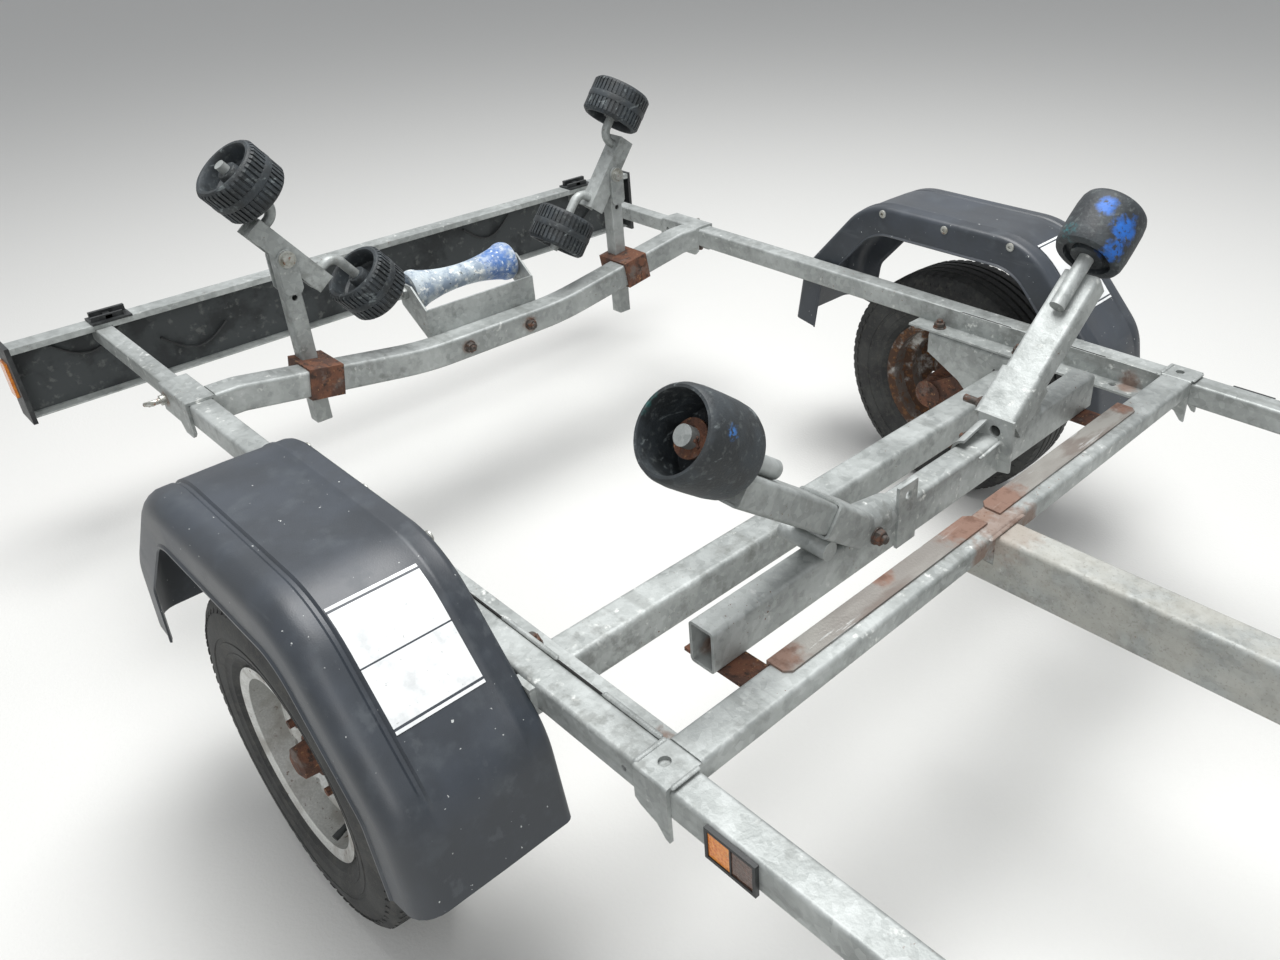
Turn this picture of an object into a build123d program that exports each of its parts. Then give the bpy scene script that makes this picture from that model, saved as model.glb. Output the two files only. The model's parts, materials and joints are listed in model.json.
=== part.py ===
from build123d import *
from math import atan2, cos, degrees, hypot, radians, sin, tan
import os

os.makedirs("parts", exist_ok=True)

# Driving dimensions in millimetres; x is measured forward from the wheel axis,
# y to the left, z up from the ground
tyre_diameter = 486.0
tyre_width = 145.0
rim_flange_radius = 142.0
rim_seat_radius = 127.0
rim_half_width = 61.0
stud_circle = 50.0
tyre_gap = 8.5

rail_size = 40.0
rail_wall = 4.0
rail_y = 578.0
rail_top = 468.0
rail_rear = -765.0
rail_bend_x = 1150.0
rail_join_x = 1900.0
rail_bend_radius = 150.0
screw_from_end = 30.0
screw_radius = 5.0

drawbar_width = 50.0
drawbar_height = 80.0
drawbar_front = 2895.0
ball_ahead = 105.0
ball_drop = 62.0
ball_radius = 25.0

cross_x = 516.0
cross_over_rail = 10.0
plate = 5.0

axle_x = 222.0
axle_z = 367.0
axle_size = 56.0
axle_wall = 4.0
axle_overhang = 2.0
angle_wall = 4.0
angle_leg = 39.5
axle_plate_rear = 47.0
axle_plate_front = 268.0
hanger_rear_x = 57.0
hanger_front_x = 231.0
angle_bolt_x = 416.0
swing_arm_width = 30.0
stub_radius = 15.0

beam_x = 412.0
beam_width = 40.0
beam_height = 60.0
beam_top = 496.0
beam_set_in = 146.0
bar_set_in = 32.0

arm_angle = 37.3
arm_foot_y = 131.0
arm_foot_z = 513.0
arm_length = 303.0
arm_start = 118.0
arm_width = 60.0
arm_height = 40.0
side_roller_radius = 59.0
side_roller_length = 125.0
side_roller_centre = 372.0
spindle_radius = 12.5
sleeve_start = 38.0
sleeve_length = 167.0
nose_radius = 15.0
prop_radius = 10.0
spare_lug_y = -78.0
lug_half_width = 20.0

rear_x = -659.0
rear_size = 50.0
rear_drop = 56.0
rear_flat = 160.0

post_gap = 1.0
post_set_in = 212.0
post_size = 30.0
pivot_z_right = 646.0
pivot_z_left = 631.0
rocker_angle = 52.6
ribbed_radius = 62.0
ribbed_length = 76.0
rocker_offset = 57.0
rocker_outer = 130.0
rocker_inner = -160.0
rod_radius = 9.0
fork_gap = 4.5
fork_wall = 4.0

keel_behind = 96.0
keel_z = 490.0
keel_length = 236.0
keel_radius = 40.0
keel_bolt_y = 73.0

bar_x = -1100.0
bar_depth = 40.0
bar_height = 150.0
bar_top = 473.0
bar_overhang = 160.0
bar_sheet = 3.0

guard_gap = 24.0
guard_outer_gap = 18.5
guard_rear = 392.0
guard_front = 388.0
guard_top = 602.0
guard_sheet = 3.0
guard_flange = 62.0
guard_skirt = 38.0
guard_shoulder = 32.0
guard_inner_round = 10.0
guard_bottom = 300.0

winch_behind = 410.0
winch_height = 520.0
jockey_behind = 335.0
jockey_clearance = 50.0
jockey_wheel_radius = 100.0
jockey_wheel_width = 50.0
jockey_trail = 45.0
jockey_tube_radius = 24.0

bolt_radius = 6.0
bolt_hole_radius = 6.5
nut_across = 19.0
slide_gap = 0.3
pin_gap = 0.08

rail_z = rail_top - rail_size / 2
rail_bottom = rail_top - rail_size
half_rail = rail_size / 2
cross_size = rail_size + cross_over_rail
wheel_z = tyre_diameter / 2
hanger_y = rail_y - half_rail - 18
saddle_top = rail_top + plate
drawbar_bottom = rail_top - drawbar_height
ball_z = rail_top - ball_drop
leg_outer = rail_y + half_rail
leg_inner = rail_y - half_rail
axle_end = leg_outer + axle_overhang
swing_arm_end = axle_end + swing_arm_width
wheel_y = swing_arm_end + tyre_gap + tyre_width / 2
guard_inner = leg_outer + guard_gap
guard_outer = wheel_y + tyre_width / 2 + guard_outer_gap
beam_half = rail_y - beam_set_in
bar_y = beam_half - bar_set_in
post_x = rear_x - rear_size / 2 - post_gap - post_size / 2
post_y = rail_y - post_set_in
keel_x = rear_x - keel_behind
bar_half = rail_y + bar_overhang
ball_x = drawbar_front + ball_ahead
jockey_x = drawbar_front - jockey_behind
winch_x = jockey_x - winch_behind
front_reach = ball_x + 40.0
rear_reach = bar_x - bar_depth - 38.0
shift = -(front_reach + rear_reach) / 2


def box(x0, x1, y0, y1, z0, z1):
    """Block between two corners"""
    middle = Pos((x0 + x1) / 2, (y0 + y1) / 2, (z0 + z1) / 2)
    return middle * Box(abs(x1 - x0), abs(y1 - y0), abs(z1 - z0))


def rod(start, end, radius):
    """Round bar from one point to another"""
    start = Vector(*start)
    axis = Vector(*end) - start
    place = Plane(origin=start, z_dir=axis)
    return place * Cylinder(radius, axis.length, align=(Align.CENTER, Align.CENTER, Align.MIN))


def hexagon(start, end, across):
    """Hexagonal bar from one point to another"""
    start = Vector(*start)
    axis = Vector(*end) - start
    place = Plane(origin=start, z_dir=axis)
    return extrude(place * RegularPolygon(across / 2, 6, major_radius=False), axis.length, dir=axis)


def bent_wire(points, radii):
    """Straight runs joined by round bends"""
    points = [Vector(*p) for p in points]
    edges = []
    start = points[0]
    for i, radius in enumerate(radii):
        corner = points[i + 1]
        back = (points[i] - corner).normalized()
        ahead = (points[i + 2] - corner).normalized()
        half = radians(back.get_angle(ahead)) / 2
        cut = radius / tan(half)
        middle = corner + (back + ahead).normalized() * (radius / sin(half) - radius)
        edges.append(Line(start, corner + back * cut))
        edges.append(ThreePointArc(corner + back * cut, middle, corner + ahead * cut))
        start = corner + ahead * cut
    edges.append(Line(start, points[-1]))
    return Wire(edges)


def square_tube(points, radii, width, height, wall, up=(0, 0, 1), corner=5.0):
    """Rounded square tube along straight runs and bends"""
    path = bent_wire(points, radii)
    ahead = path % 0
    side = Vector(*up).cross(ahead)
    place = Plane(origin=path @ 0, x_dir=side, z_dir=ahead)
    outer = sweep(place * RectangleRounded(width, height, corner), path=path)
    inside = place * RectangleRounded(width - 2 * wall, height - 2 * wall, max(corner - wall, 1.0))
    return outer - sweep(inside, path=path)


def round_run(points, radii, radius):
    """Round bar along straight runs and bends"""
    path = bent_wire(points, radii)
    return sweep(Plane(origin=path @ 0, z_dir=path % 0) * Circle(radius), path=path)


def profile_x(points, x0, x1, rounds=None):
    """Outline of (y, z) points carried from x0 to x1"""
    place = Plane(origin=(x0, 0, 0), x_dir=(0, 1, 0), z_dir=(1, 0, 0))
    return extrude(place * outline(points, rounds), x1 - x0)


def profile_y(points, y0, y1, rounds=None):
    """Outline of (x, z) points carried from y0 to y1"""
    place = Plane(origin=(0, y0, 0), x_dir=(1, 0, 0), z_dir=(0, -1, 0))
    return extrude(place * outline(points, rounds), -(y1 - y0))


def outline(points, rounds=None):
    """Closed face from corner points, each corner with its own radius"""
    face = make_face(Polyline(*points, close=True))
    if rounds:
        for point, radius in zip(points, rounds):
            if radius:
                corner = face.vertices().sort_by_distance((point[0], point[1], 0))[0]
                face = fillet(corner, radius)
    return face


def turned(points, origin, axis):
    """Outline of (along, radius) points turned round an axis through origin"""
    axis = Vector(*axis)
    helper = Vector(1, 0, 0) if abs(axis.X) < 0.5 else Vector(0, 0, 1)
    place = Plane(origin=origin, x_dir=axis, z_dir=axis.cross(helper))
    face = place * make_face(Polyline(*points, close=True))
    return revolve(face, Axis(origin, axis), 360)


def both(shape):
    """The shape and its copy mirrored to the other side"""
    return [shape, mirror(shape, about=Plane.XZ)]


def save(name, shapes):
    """Write one named piece, moved so that the length is centred"""
    solids = []
    for shape in shapes if isinstance(shapes, (list, tuple)) else [shapes]:
        solids += shape.solids()
    moved = [Pos(shift, 0, 0) * s for s in solids]
    piece = moved[0] if len(moved) == 1 else Compound(children=moved)
    piece.label = name
    export_step(piece, f"parts/{name}.step")
    print(name, len(moved), "solids")


# Side rails, straight along the boat and bent inward to the drawbar in front
rail_slope = atan2(rail_y - drawbar_width / 2, rail_join_x - rail_bend_x)
beyond = 60.0
for side, name in ((1, "left"), (-1, "right")):
    far_end = (
        rail_join_x + beyond * cos(rail_slope),
        side * (drawbar_width / 2 - beyond * sin(rail_slope)),
        rail_z,
    )
    points = [(rail_rear, side * rail_y, rail_z), (rail_bend_x, side * rail_y, rail_z), far_end]
    rail = square_tube(points, [rail_bend_radius], rail_size, rail_size, rail_wall)
    past = -side * 400.0
    start_x = rail_bend_x + rail_bend_radius
    rail -= box(start_x, start_x + 2000, past, side * drawbar_width / 2, 0, 900)
    face_y = side * leg_outer
    hole_x = cross_x - 46
    rail -= rod((hole_x, face_y - side * 6, rail_z), (hole_x, face_y + side * 6, rail_z), 4)
    hole_x = rail_rear + screw_from_end
    inside_y = face_y - side * 2 * rail_wall
    rail -= rod((hole_x, face_y + side * 5, rail_z), (hole_x, inside_y, rail_z), screw_radius + 0.2)
    save("rail_" + name, rail)

# Drawbar, notched under the front cross-member
coupling_bolts = (drawbar_front - 85, drawbar_front - 25)
coupling_bolt_z = rail_top - 30
drawbar_z = rail_top - drawbar_height / 2
drawbar_run = [(cross_x - 31, 0, drawbar_z), (drawbar_front, 0, drawbar_z)]
drawbar = square_tube(drawbar_run, [], drawbar_width, drawbar_height, 4.0, corner=7.0)
cross_front = cross_x + cross_size / 2
cross_rear = cross_x - cross_size / 2
cross_bottom = saddle_top - cross_size
drawbar -= box(cross_rear - 100, cross_front, -drawbar_width, drawbar_width, cross_bottom, 900)
for x in coupling_bolts:
    drawbar -= rod((x, -90, coupling_bolt_z), (x, 90, coupling_bolt_z), bolt_radius + 0.3)
save("drawbar", drawbar)

# Plates that tie the rails to the drawbar
near_x = rail_join_x - 150
wide = drawbar_width / 2 + 150 * tan(rail_slope) + 18
narrow = drawbar_width / 2 + 8
tie = [
    (near_x, wide),
    (rail_join_x + 60, narrow),
    (rail_join_x + 60, -narrow),
    (near_x, -wide),
    (near_x + 45, 0),
]
top_plate = extrude(Plane.XY.offset(rail_top) * outline(tie), plate)
bottom_plate = extrude(Plane.XY.offset(rail_bottom - plate) * outline(tie), plate)
bottom_plate -= box(near_x, drawbar_front, -drawbar_width / 2, drawbar_width / 2, 0, 900)
bottom_plate -= box(near_x, near_x + 45, -60, 60, 0, 900)
save("rail_joint_plates", [top_plate, bottom_plate])

# Front cross-member between the saddles
cross_end = leg_inner - plate
cross_z = saddle_top - cross_size / 2
cross_run = [(cross_x, -cross_end, cross_z), (cross_x, cross_end, cross_z)]
cross = square_tube(cross_run, [], cross_size, cross_size, 3.0, corner=6.0)
for y in (-cross_end + 10, cross_end - 10):
    cross -= rod((cross_x - 4, y, saddle_top + 5), (cross_x - 4, y, saddle_top - 8), 4.25)
save("front_cross_member", cross)

# Saddle plates folded over the rails, with a pointed tail in front
tail = [
    (cross_rear, saddle_top),
    (cross_front, saddle_top),
    (cross_front, rail_bottom - 30),
    (cross_front - 6, rail_bottom - 28),
    (cross_front - 18, rail_bottom - 14),
    (cross_rear + 8, rail_bottom - 6),
    (cross_rear, rail_bottom),
]
saddle = profile_y(tail, leg_inner - plate, leg_outer + plate)
saddle -= box(cross_rear - 1, cross_front + 1, leg_inner, leg_outer, 0, rail_top)
edges = saddle.edges().filter_by(Axis.X).group_by(Axis.Z)[-1]
saddle = fillet(edges, 0.7 * plate)
saddle -= rod((cross_x - 4, rail_y, rail_top - 1), (cross_x - 4, rail_y, saddle_top + 5), 7)
save("front_saddles", both(saddle))

nut_x = cross_x - 6
stud = rod((nut_x, rail_y, rail_bottom), (nut_x, rail_y, rail_bottom - 24), bolt_radius)
stud += hexagon((nut_x, rail_y, rail_bottom - 2.5), (nut_x, rail_y, rail_bottom - 13), nut_across)
stud += rod((nut_x, rail_y, rail_bottom), (nut_x, rail_y, rail_bottom - 2.5), 12)
front_studs = both(stud)

# Loose cover strips on the cross-member, clipped corners
strip_front = cross_x + 5
strip_end = beam_half - 27
strip = [(15, 0), (strip_end - 8, 0), (strip_end, 8), (strip_end, 35), (27, 35), (15, 24)]
strips = []
for mirror_side in (1, -1):
    face = make_face(Polyline(*[(strip_front - b, mirror_side * a) for a, b in strip], close=True))
    top = extrude(Plane.XY.offset(saddle_top) * face, 3.0)
    top -= box(cross_rear - 50, cross_rear - 3, -900, 900, 0, 900)
    y0, y1 = sorted((mirror_side * 27, mirror_side * strip_end))
    leg = box(cross_rear - 3, cross_rear, y0, y1, saddle_top - 30, saddle_top + 0.01)
    strips.append(top + leg)
save("cover_strips", strips)

# Angle irons along the inside of the rails that carry the axle
angles = []
for side in (1, -1):
    wall_y = side * leg_inner
    y = side * hanger_y
    angle = box(0, cross_rear, wall_y, wall_y - side * angle_wall, rail_bottom, rail_top)
    angle += box(0, cross_rear, wall_y, wall_y - side * angle_leg, rail_bottom, rail_bottom + angle_wall)
    for x in (hanger_rear_x, hanger_front_x, angle_bolt_x):
        angle -= rod((x, y, rail_bottom - 5), (x, y, rail_bottom + 10), bolt_hole_radius)
    angles.append(angle)
save("axle_angles", angles)

# Axle tube, plates folded round it and the trailing arms
axle_run = [(axle_x, -axle_end, axle_z), (axle_x, axle_end, axle_z)]
axle = square_tube(axle_run, [], axle_size, axle_size, axle_wall, corner=9.0)
save("axle_tube", axle)

web = leg_inner - 38
plate_foot = axle_z - axle_size / 2 - 18
fold = [
    (web, plate_foot),
    (web, rail_bottom),
    (leg_inner - 2, rail_bottom),
    (leg_inner - 2, rail_bottom - plate),
    (web + plate, rail_bottom - plate),
    (web + plate, plate_foot),
]
folded = profile_x(fold, axle_plate_rear, axle_plate_front, rounds=[0, 9, 0, 0, 4, 0])
clear = axle_size / 2
folded -= box(axle_x - clear, axle_x + clear, 0, 900, axle_z - clear, axle_z + clear)
sloped = [
    (axle_plate_rear - 47, plate_foot - 71),
    (axle_plate_rear - 47, axle_z + 18),
    (axle_plate_rear, axle_z + 18),
    (axle_x - clear - 74, axle_z - 20),
    (axle_x - clear - 29, plate_foot - 14),
    (axle_x - clear - 29, plate_foot - 71),
]
folded -= profile_y(sloped, web - 100, leg_outer + 100)
for x in (hanger_rear_x, hanger_front_x):
    folded -= rod((x, hanger_y, rail_bottom - 10), (x, hanger_y, rail_bottom + 5), bolt_hole_radius)
save("axle_plates", both(folded))

hanger = []
for x in (hanger_rear_x, hanger_front_x):
    y = hanger_y
    seat = rail_bottom + angle_wall
    b = rod((x, y, seat), (x, y, rail_bottom - 20), bolt_radius)
    b += hexagon((x, y, seat), (x, y, seat + 8), nut_across)
    b += hexagon((x, y, rail_bottom - plate - 10), (x, y, rail_bottom - plate), nut_across)
    hanger += both(b)

boss = rod((axle_x, axle_end, axle_z), (axle_x, swing_arm_end, axle_z), axle_size / 2 + 10)
boss += rod((0, axle_end, wheel_z), (0, swing_arm_end, wheel_z), 2 * stub_radius)
run = hypot(axle_x, axle_z - wheel_z)
lean = Vector(axle_x, 0, axle_z - wheel_z).normalized()
up = Vector(-lean.Z, 0, lean.X)
corners = []
for along, across in ((0, 22), (run, 30), (run, -30), (0, -22)):
    p = lean * along + up * across
    corners.append((p.X, wheel_z + p.Z))
boss += profile_y(corners, axle_end + 4, swing_arm_end - 4)
core = axle_size / 2 - axle_wall - 4
boss += box(axle_x - core, axle_x + core, axle_end - 70, axle_end, axle_z - core, axle_z + core)
boss += rod((0, swing_arm_end, wheel_z), (0, wheel_y + 14, wheel_z), stub_radius)
save("swing_arms", both(boss))

# Wheels on their hubs
for side, name in ((1, "left"), (-1, "right")):
    centre = (0, side * wheel_y, wheel_z)
    out = (0, side, 0)
    f = rim_flange_radius
    s = rim_seat_radius
    h = rim_half_width
    rim = turned(
        [(-h - 2, f - 4), (-h - 1, f), (-h + 3, f - 1), (-h + 3, s), (-26, s - 1),
         (-18, s - 19), (12, s - 19), (20, s - 1), (h - 3, s), (h - 3, f - 1), (h + 1, f),
         (h + 2, f - 4), (h, s + 2), (h - 2, s - 3),
         (22, s - 4), (14, s - 22), (-20, s - 22), (-28, s - 4), (-h + 2, s - 3), (-h, s + 2)],
        centre, out,
    )
    rim += turned(
        [(8, s - 21), (12, s - 21), (33, 92), (33, 80), (24, 68), (24, 30),
         (20, 30), (20, 70), (29, 82), (29, 90)],
        centre, out,
    )
    for i in range(4):
        a = radians(45 + 90 * i)
        x = stud_circle * cos(a)
        z = wheel_z + stud_circle * sin(a)
        rim -= rod((x, side * (wheel_y + 10), z), (x, side * (wheel_y + 40), z), bolt_radius + 0.6)
    for i in range(8):
        a = radians(22.5 + 45 * i)
        x = 86 * cos(a)
        z = wheel_z + 86 * sin(a)
        rim -= rod((x, side * (wheel_y + 10), z), (x, side * (wheel_y + 50), z), 8)
    save("rim_" + name, rim)

    r = tyre_diameter / 2
    w = tyre_width / 2
    bead = s + 0.3
    lip = h - 3.3
    place = Plane(origin=centre, x_dir=out, z_dir=Vector(*out).cross(Vector(1, 0, 0)))
    shoulder = (w - 9, r - 10)
    bulge_z = (f + r) / 2 - 4
    crown = (w - 17, r - 3)
    sides = []
    for m in (1, -1):
        sides.append(Line((m * (lip - 14), bead), (m * lip, bead)))
        sides.append(Line((m * lip, bead), (m * lip, f + 2)))
        sides.append(ThreePointArc((m * lip, f + 2), (m * w, bulge_z), (m * shoulder[0], shoulder[1])))
        sides.append(Line((m * shoulder[0], shoulder[1]), (m * crown[0], crown[1])))
        sides.append(Line((m * (lip - 14), bead), (m * (lip - 12), f)))
        sides.append(ThreePointArc((m * (lip - 12), f), (m * (w - 9), bulge_z), (m * (w - 21), r - 17)))
    sides.append(ThreePointArc((crown[0], crown[1]), (0, r), (-crown[0], crown[1])))
    sides.append(ThreePointArc((w - 21, r - 17), (0, r - 14), (21 - w, r - 17)))
    tyre = revolve(place * make_face(sides), Axis(centre, out), 360)
    save("tyre_" + name, tyre)

    back = swing_arm_end - wheel_y + 9
    hub = turned(
        [(back, 0), (back, 34), (8, 34), (12, 62), (20, 62), (20, 29.7), (38, 29.7), (38, 24), (58, 22),
         (62, 14), (62, 0)],
        centre, out,
    )
    bore = (0, side * (wheel_y + back - 8), wheel_z)
    hub -= rod(bore, (0, side * (wheel_y + 16), wheel_z), stub_radius + 0.05)
    for i in range(4):
        a = radians(45 + 90 * i)
        x = stud_circle * cos(a)
        z = wheel_z + stud_circle * sin(a)
        hub += rod((x, side * (wheel_y + 18), z), (x, side * (wheel_y + 46), z), bolt_radius)
        hub += hexagon((x, side * (wheel_y + 24), z), (x, side * (wheel_y + 38), z), nut_across)
    save("hub_" + name, hub)

# Mudguards with an inner flange, a lipped outer skirt and rounded shoulders
guard_points = [
    (-guard_rear, guard_bottom),
    (57 - guard_rear, guard_top - 140),
    (267 - guard_rear, guard_top),
    (guard_front - 253, guard_top),
    (guard_front - 48, guard_top - 147),
    (guard_front, guard_bottom),
]
guard_rounds = [0, 110, 130, 130, 110, 0]


def crown_edges(shape, depth, above):
    """Edges round the crown at one depth, without the open bottom"""
    at_depth = shape.edges().filter_by(lambda e: abs(e.center().Z - depth) < 0.01)
    return at_depth.filter_by(lambda e: e.center().Y > above)


for side, name in ((1, "left"), (-1, "right")):
    outer_face = outline(guard_points, guard_rounds)
    depth = guard_outer - guard_inner
    body = extrude(outer_face, depth)
    body = fillet(crown_edges(body, depth, guard_bottom + 1), guard_shoulder)
    body = fillet(crown_edges(body, 0, guard_bottom + 1), guard_inner_round)
    inner_face = offset(outer_face, -guard_sheet, kind=Kind.INTERSECTION)
    core = Pos(0, 0, guard_sheet) * extrude(inner_face, depth - 2 * guard_sheet)
    core = fillet(crown_edges(core, depth - guard_sheet, guard_bottom + 4), guard_shoulder - guard_sheet)
    core = fillet(crown_edges(core, guard_sheet, guard_bottom + 4), guard_inner_round - guard_sheet)
    body -= core
    body -= Pos(0, guard_bottom + guard_sheet / 2, 90) * Box(1000, guard_sheet + 0.6, 400)
    skirt_face = offset(outer_face, -guard_skirt, kind=Kind.INTERSECTION)
    skirt = extrude(skirt_face, 60)
    skirt += Pos(0, guard_bottom + 20, 30) * Box(guard_rear + guard_front - 80, 80, 60)
    body -= Pos(0, 0, depth - guard_shoulder - guard_sheet) * skirt
    flange_face = offset(outer_face, -guard_flange, kind=Kind.INTERSECTION)
    flange = extrude(flange_face, 20)
    flange += Pos(0, guard_bottom + 30, 10) * Box(guard_rear + guard_front - 160, 90, 20)
    body -= Pos(0, 0, -10) * flange
    if side == 1:
        place = Plane(origin=(0, guard_inner, 0), x_dir=(1, 0, 0), z_dir=(0, -1, 0))
        guard = place * mirror(body, about=Plane.XY)
    else:
        place = Plane(origin=(0, -guard_inner, 0), x_dir=(1, 0, 0), z_dir=(0, -1, 0))
        guard = place * body
    save("mudguard_" + name, guard)

# Channel feet between the rails and the mudguards
feet = []
for foot_x in (83 - guard_rear, guard_front - 77):
    foot_block = box(foot_x - 15, foot_x + 15, leg_outer, guard_inner - 0.3, rail_z - 15, rail_z + 15)
    foot_block -= box(foot_x - 11, foot_x + 11, leg_outer + 4, guard_inner - 4.3, rail_z - 16, rail_z + 16)
    feet += both(foot_block)
save("mudguard_feet", feet)

# Roller beam on flat bars behind the cross-member
beam_bottom = beam_top - beam_height
beam_z = beam_top - beam_height / 2
beam_run = [(beam_x, -beam_half, beam_z), (beam_x, beam_half, beam_z)]
beam = square_tube(beam_run, [], beam_width, beam_height, 4.0, corner=6.0)
lug_front = beam_x + beam_width / 2
lug_rear = beam_x - beam_width / 2 - plate
lug_places = [
    (lug_front, spare_lug_y),
    (lug_front, arm_foot_y),
    (lug_rear, -arm_foot_y),
    (lug_rear, arm_foot_y),
]
for x, y in lug_places:
    lug = box(x, x + plate, y - lug_half_width, y + lug_half_width, beam_bottom + 1, arm_foot_z + 18)
    beam += lug - rod((x - 10, y, arm_foot_z), (x + 15, y, arm_foot_z), bolt_hole_radius)
save("roller_beam", beam)
bars = []
for y in (-bar_y, bar_y):
    bars.append(box(beam_x - 42, cross_rear, y - 22, y + 22, beam_bottom - 5, beam_bottom))
save("beam_bars", bars)

# Side arms, sleeves and their smooth rollers
u = Vector(0, cos(radians(arm_angle)), sin(radians(arm_angle)))
n = Vector(0, -sin(radians(arm_angle)), cos(radians(arm_angle)))
foot = Vector(beam_x, arm_foot_y, arm_foot_z)


def on_arm(along, across, x=0.0):
    """Point measured along the arm, across it and forward"""
    p = foot + u * along + n * across + Vector(x, 0, 0)
    return (p.X, p.Y, p.Z)


half_width = arm_width / 2
half_height = arm_height / 2
arm_place = Plane(origin=foot, x_dir=(1, 0, 0), z_dir=u)
tube_face = RectangleRounded(arm_width, arm_height, 6) - RectangleRounded(arm_width - 7, arm_height - 7, 3)
arm = extrude(arm_place.offset(arm_start) * tube_face, arm_length - arm_start)
cap = extrude(arm_place.offset(arm_length - 6) * RectangleRounded(arm_width - 7, arm_height - 7, 3), 6)
spindle_end = side_roller_centre + side_roller_length / 2 - 14
arm += cap + rod(on_arm(arm_length - 40, 0), on_arm(spindle_end, 0), spindle_radius)
washer_at = side_roller_centre + side_roller_length / 2 - 29.7
arm += rod(on_arm(washer_at, 0), on_arm(washer_at + 4, 0), 23)
save("side_arms", both(arm))

sleeve_face = Pos(-2, 0, 0) * Rectangle(2 * half_width + 4, 2 * half_height + 8)
sleeve = extrude(arm_place.offset(sleeve_start) * sleeve_face, sleeve_length)
sleeve -= extrude(arm_place.offset(sleeve_start + 4) * Rectangle(2 * half_width - 8, 2 * half_height), 76)
socket = Pos(1, 0, 0) * Rectangle(2 * half_width + 2, 2 * half_height + 0.6)
sleeve -= extrude(arm_place.offset(arm_start - 0.3) * socket, 200)
nose_half = beam_width / 2 - 1
nose = rod(on_arm(0, 0, -nose_half), on_arm(0, 0, nose_half), nose_radius)
nose += extrude(arm_place * Rectangle(2 * nose_half, 2 * nose_radius), sleeve_start + 0.5)
hollow = rod(on_arm(0, 0, -nose_half + 4), on_arm(0, 0, nose_half - 4), 11.5)
hollow += extrude(arm_place * Rectangle(2 * nose_half - 8, 23), 36)
hollow += extrude(arm_place.offset(-30) * (Pos(0, 15, 0) * Rectangle(2 * nose_half - 8, 20)), 66)
nose -= hollow
nose -= rod(on_arm(0, 0, -40), on_arm(0, 0, 40), bolt_hole_radius)
sleeve += nose
under = on_arm(95, -half_height - 4)
prop_x = beam_x + 8
prop = rod((prop_x, under[1] - 26, beam_top - 14), (prop_x, under[1] + 32, under[2] + 16), prop_radius)
prop -= extrude(arm_place * (Pos(0, half_height + 3 - 200, 0) * Rectangle(200, 400)), 400)
prop -= box(beam_x - 60, beam_x + 60, 0, 900, 0, beam_top)
save("arm_sleeves", both(sleeve + prop))

arm_bolts = []
for side in (-1, 1):
    x0 = beam_x - beam_width / 2 - plate
    x1 = beam_x + beam_width / 2 + (plate if side == 1 else 0)
    y = side * arm_foot_y
    pivot_bolt = rod((x0 - 18, y, arm_foot_z), (x1 + 10, y, arm_foot_z), bolt_radius)
    pivot_bolt += hexagon((x0 - 8, y, arm_foot_z), (x0, y, arm_foot_z), nut_across)
    front = x1 if side == 1 else beam_x + nose_half
    pivot_bolt += hexagon((front, y, arm_foot_z), (front + 10, y, arm_foot_z), nut_across)
    arm_bolts.append(pivot_bolt)

sr = side_roller_radius
sl = side_roller_length / 2
for side, name in ((1, "left"), (-1, "right")):
    c = on_arm(side_roller_centre, 0)
    centre = (c[0], side * c[1], c[2])
    axis = (0, side * u.Y, u.Z)
    bore = spindle_radius + 0.1
    roller = turned(
        [(-sl, sr - 17), (-sl + 3, sr - 8), (-sl + 14, sr - 2), (-sl + 36, sr), (sl - 40, sr - 1),
         (sl - 6, sr - 5), (sl, sr - 8), (sl, sr - 16), (sl - 52, sr - 19), (sl - 52, 24),
         (sl - 30, 23), (sl - 30, bore),
         (-sl, bore), (-sl, 30), (-sl + 12, 31), (-sl + 12, sr - 20)],
        centre, axis,
    )
    save("side_roller_" + name, roller)

# Rear cross-member bowed down in the middle
rear_z = saddle_top - rear_size / 2
low_z = rear_z - rear_drop
bend_y = cross_end - 43
rear_points = [
    (rear_x, -cross_end, rear_z),
    (rear_x, -bend_y, rear_z),
    (rear_x, -rear_flat, low_z),
    (rear_x, rear_flat, low_z),
    (rear_x, bend_y, rear_z),
    (rear_x, cross_end, rear_z),
]
rear = square_tube(rear_points, [60, 700, 700, 60], rear_size, rear_size, 3.0, corner=6.0)
for y in (-keel_bolt_y, keel_bolt_y):
    rear -= rod((rear_x - 60, y, low_z), (rear_x + 60, y, low_z), bolt_hole_radius)
save("rear_cross_member", rear)

# Long saddles over the rails at the rear, with clamp screws
rear_front = rear_x + rear_size / 2
sleeve_rear = rear_front - 119
tail = [
    (sleeve_rear, saddle_top),
    (rear_front, saddle_top),
    (rear_front, rail_bottom - 12),
    (rear_front - 10, rail_bottom - 22),
    (rear_front - 40, rail_bottom - 22),
    (rear_front - 52, rail_bottom - 6),
    (sleeve_rear, rail_bottom - 6),
]
sleeve = profile_y(tail, leg_inner - plate, leg_outer + plate)
sleeve -= box(sleeve_rear - 1, rear_front + 1, leg_inner, leg_outer, 0, rail_top)
edges = sleeve.edges().filter_by(Axis.X).group_by(Axis.Z)[-1]
sleeve = fillet(edges, 0.7 * plate)
screw_x = rail_rear + screw_from_end
sleeve -= rod((screw_x, leg_inner - 50, rail_z), (screw_x, leg_outer + 50, rail_z), screw_radius + 0.3)
save("rear_saddles", both(sleeve))

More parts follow.
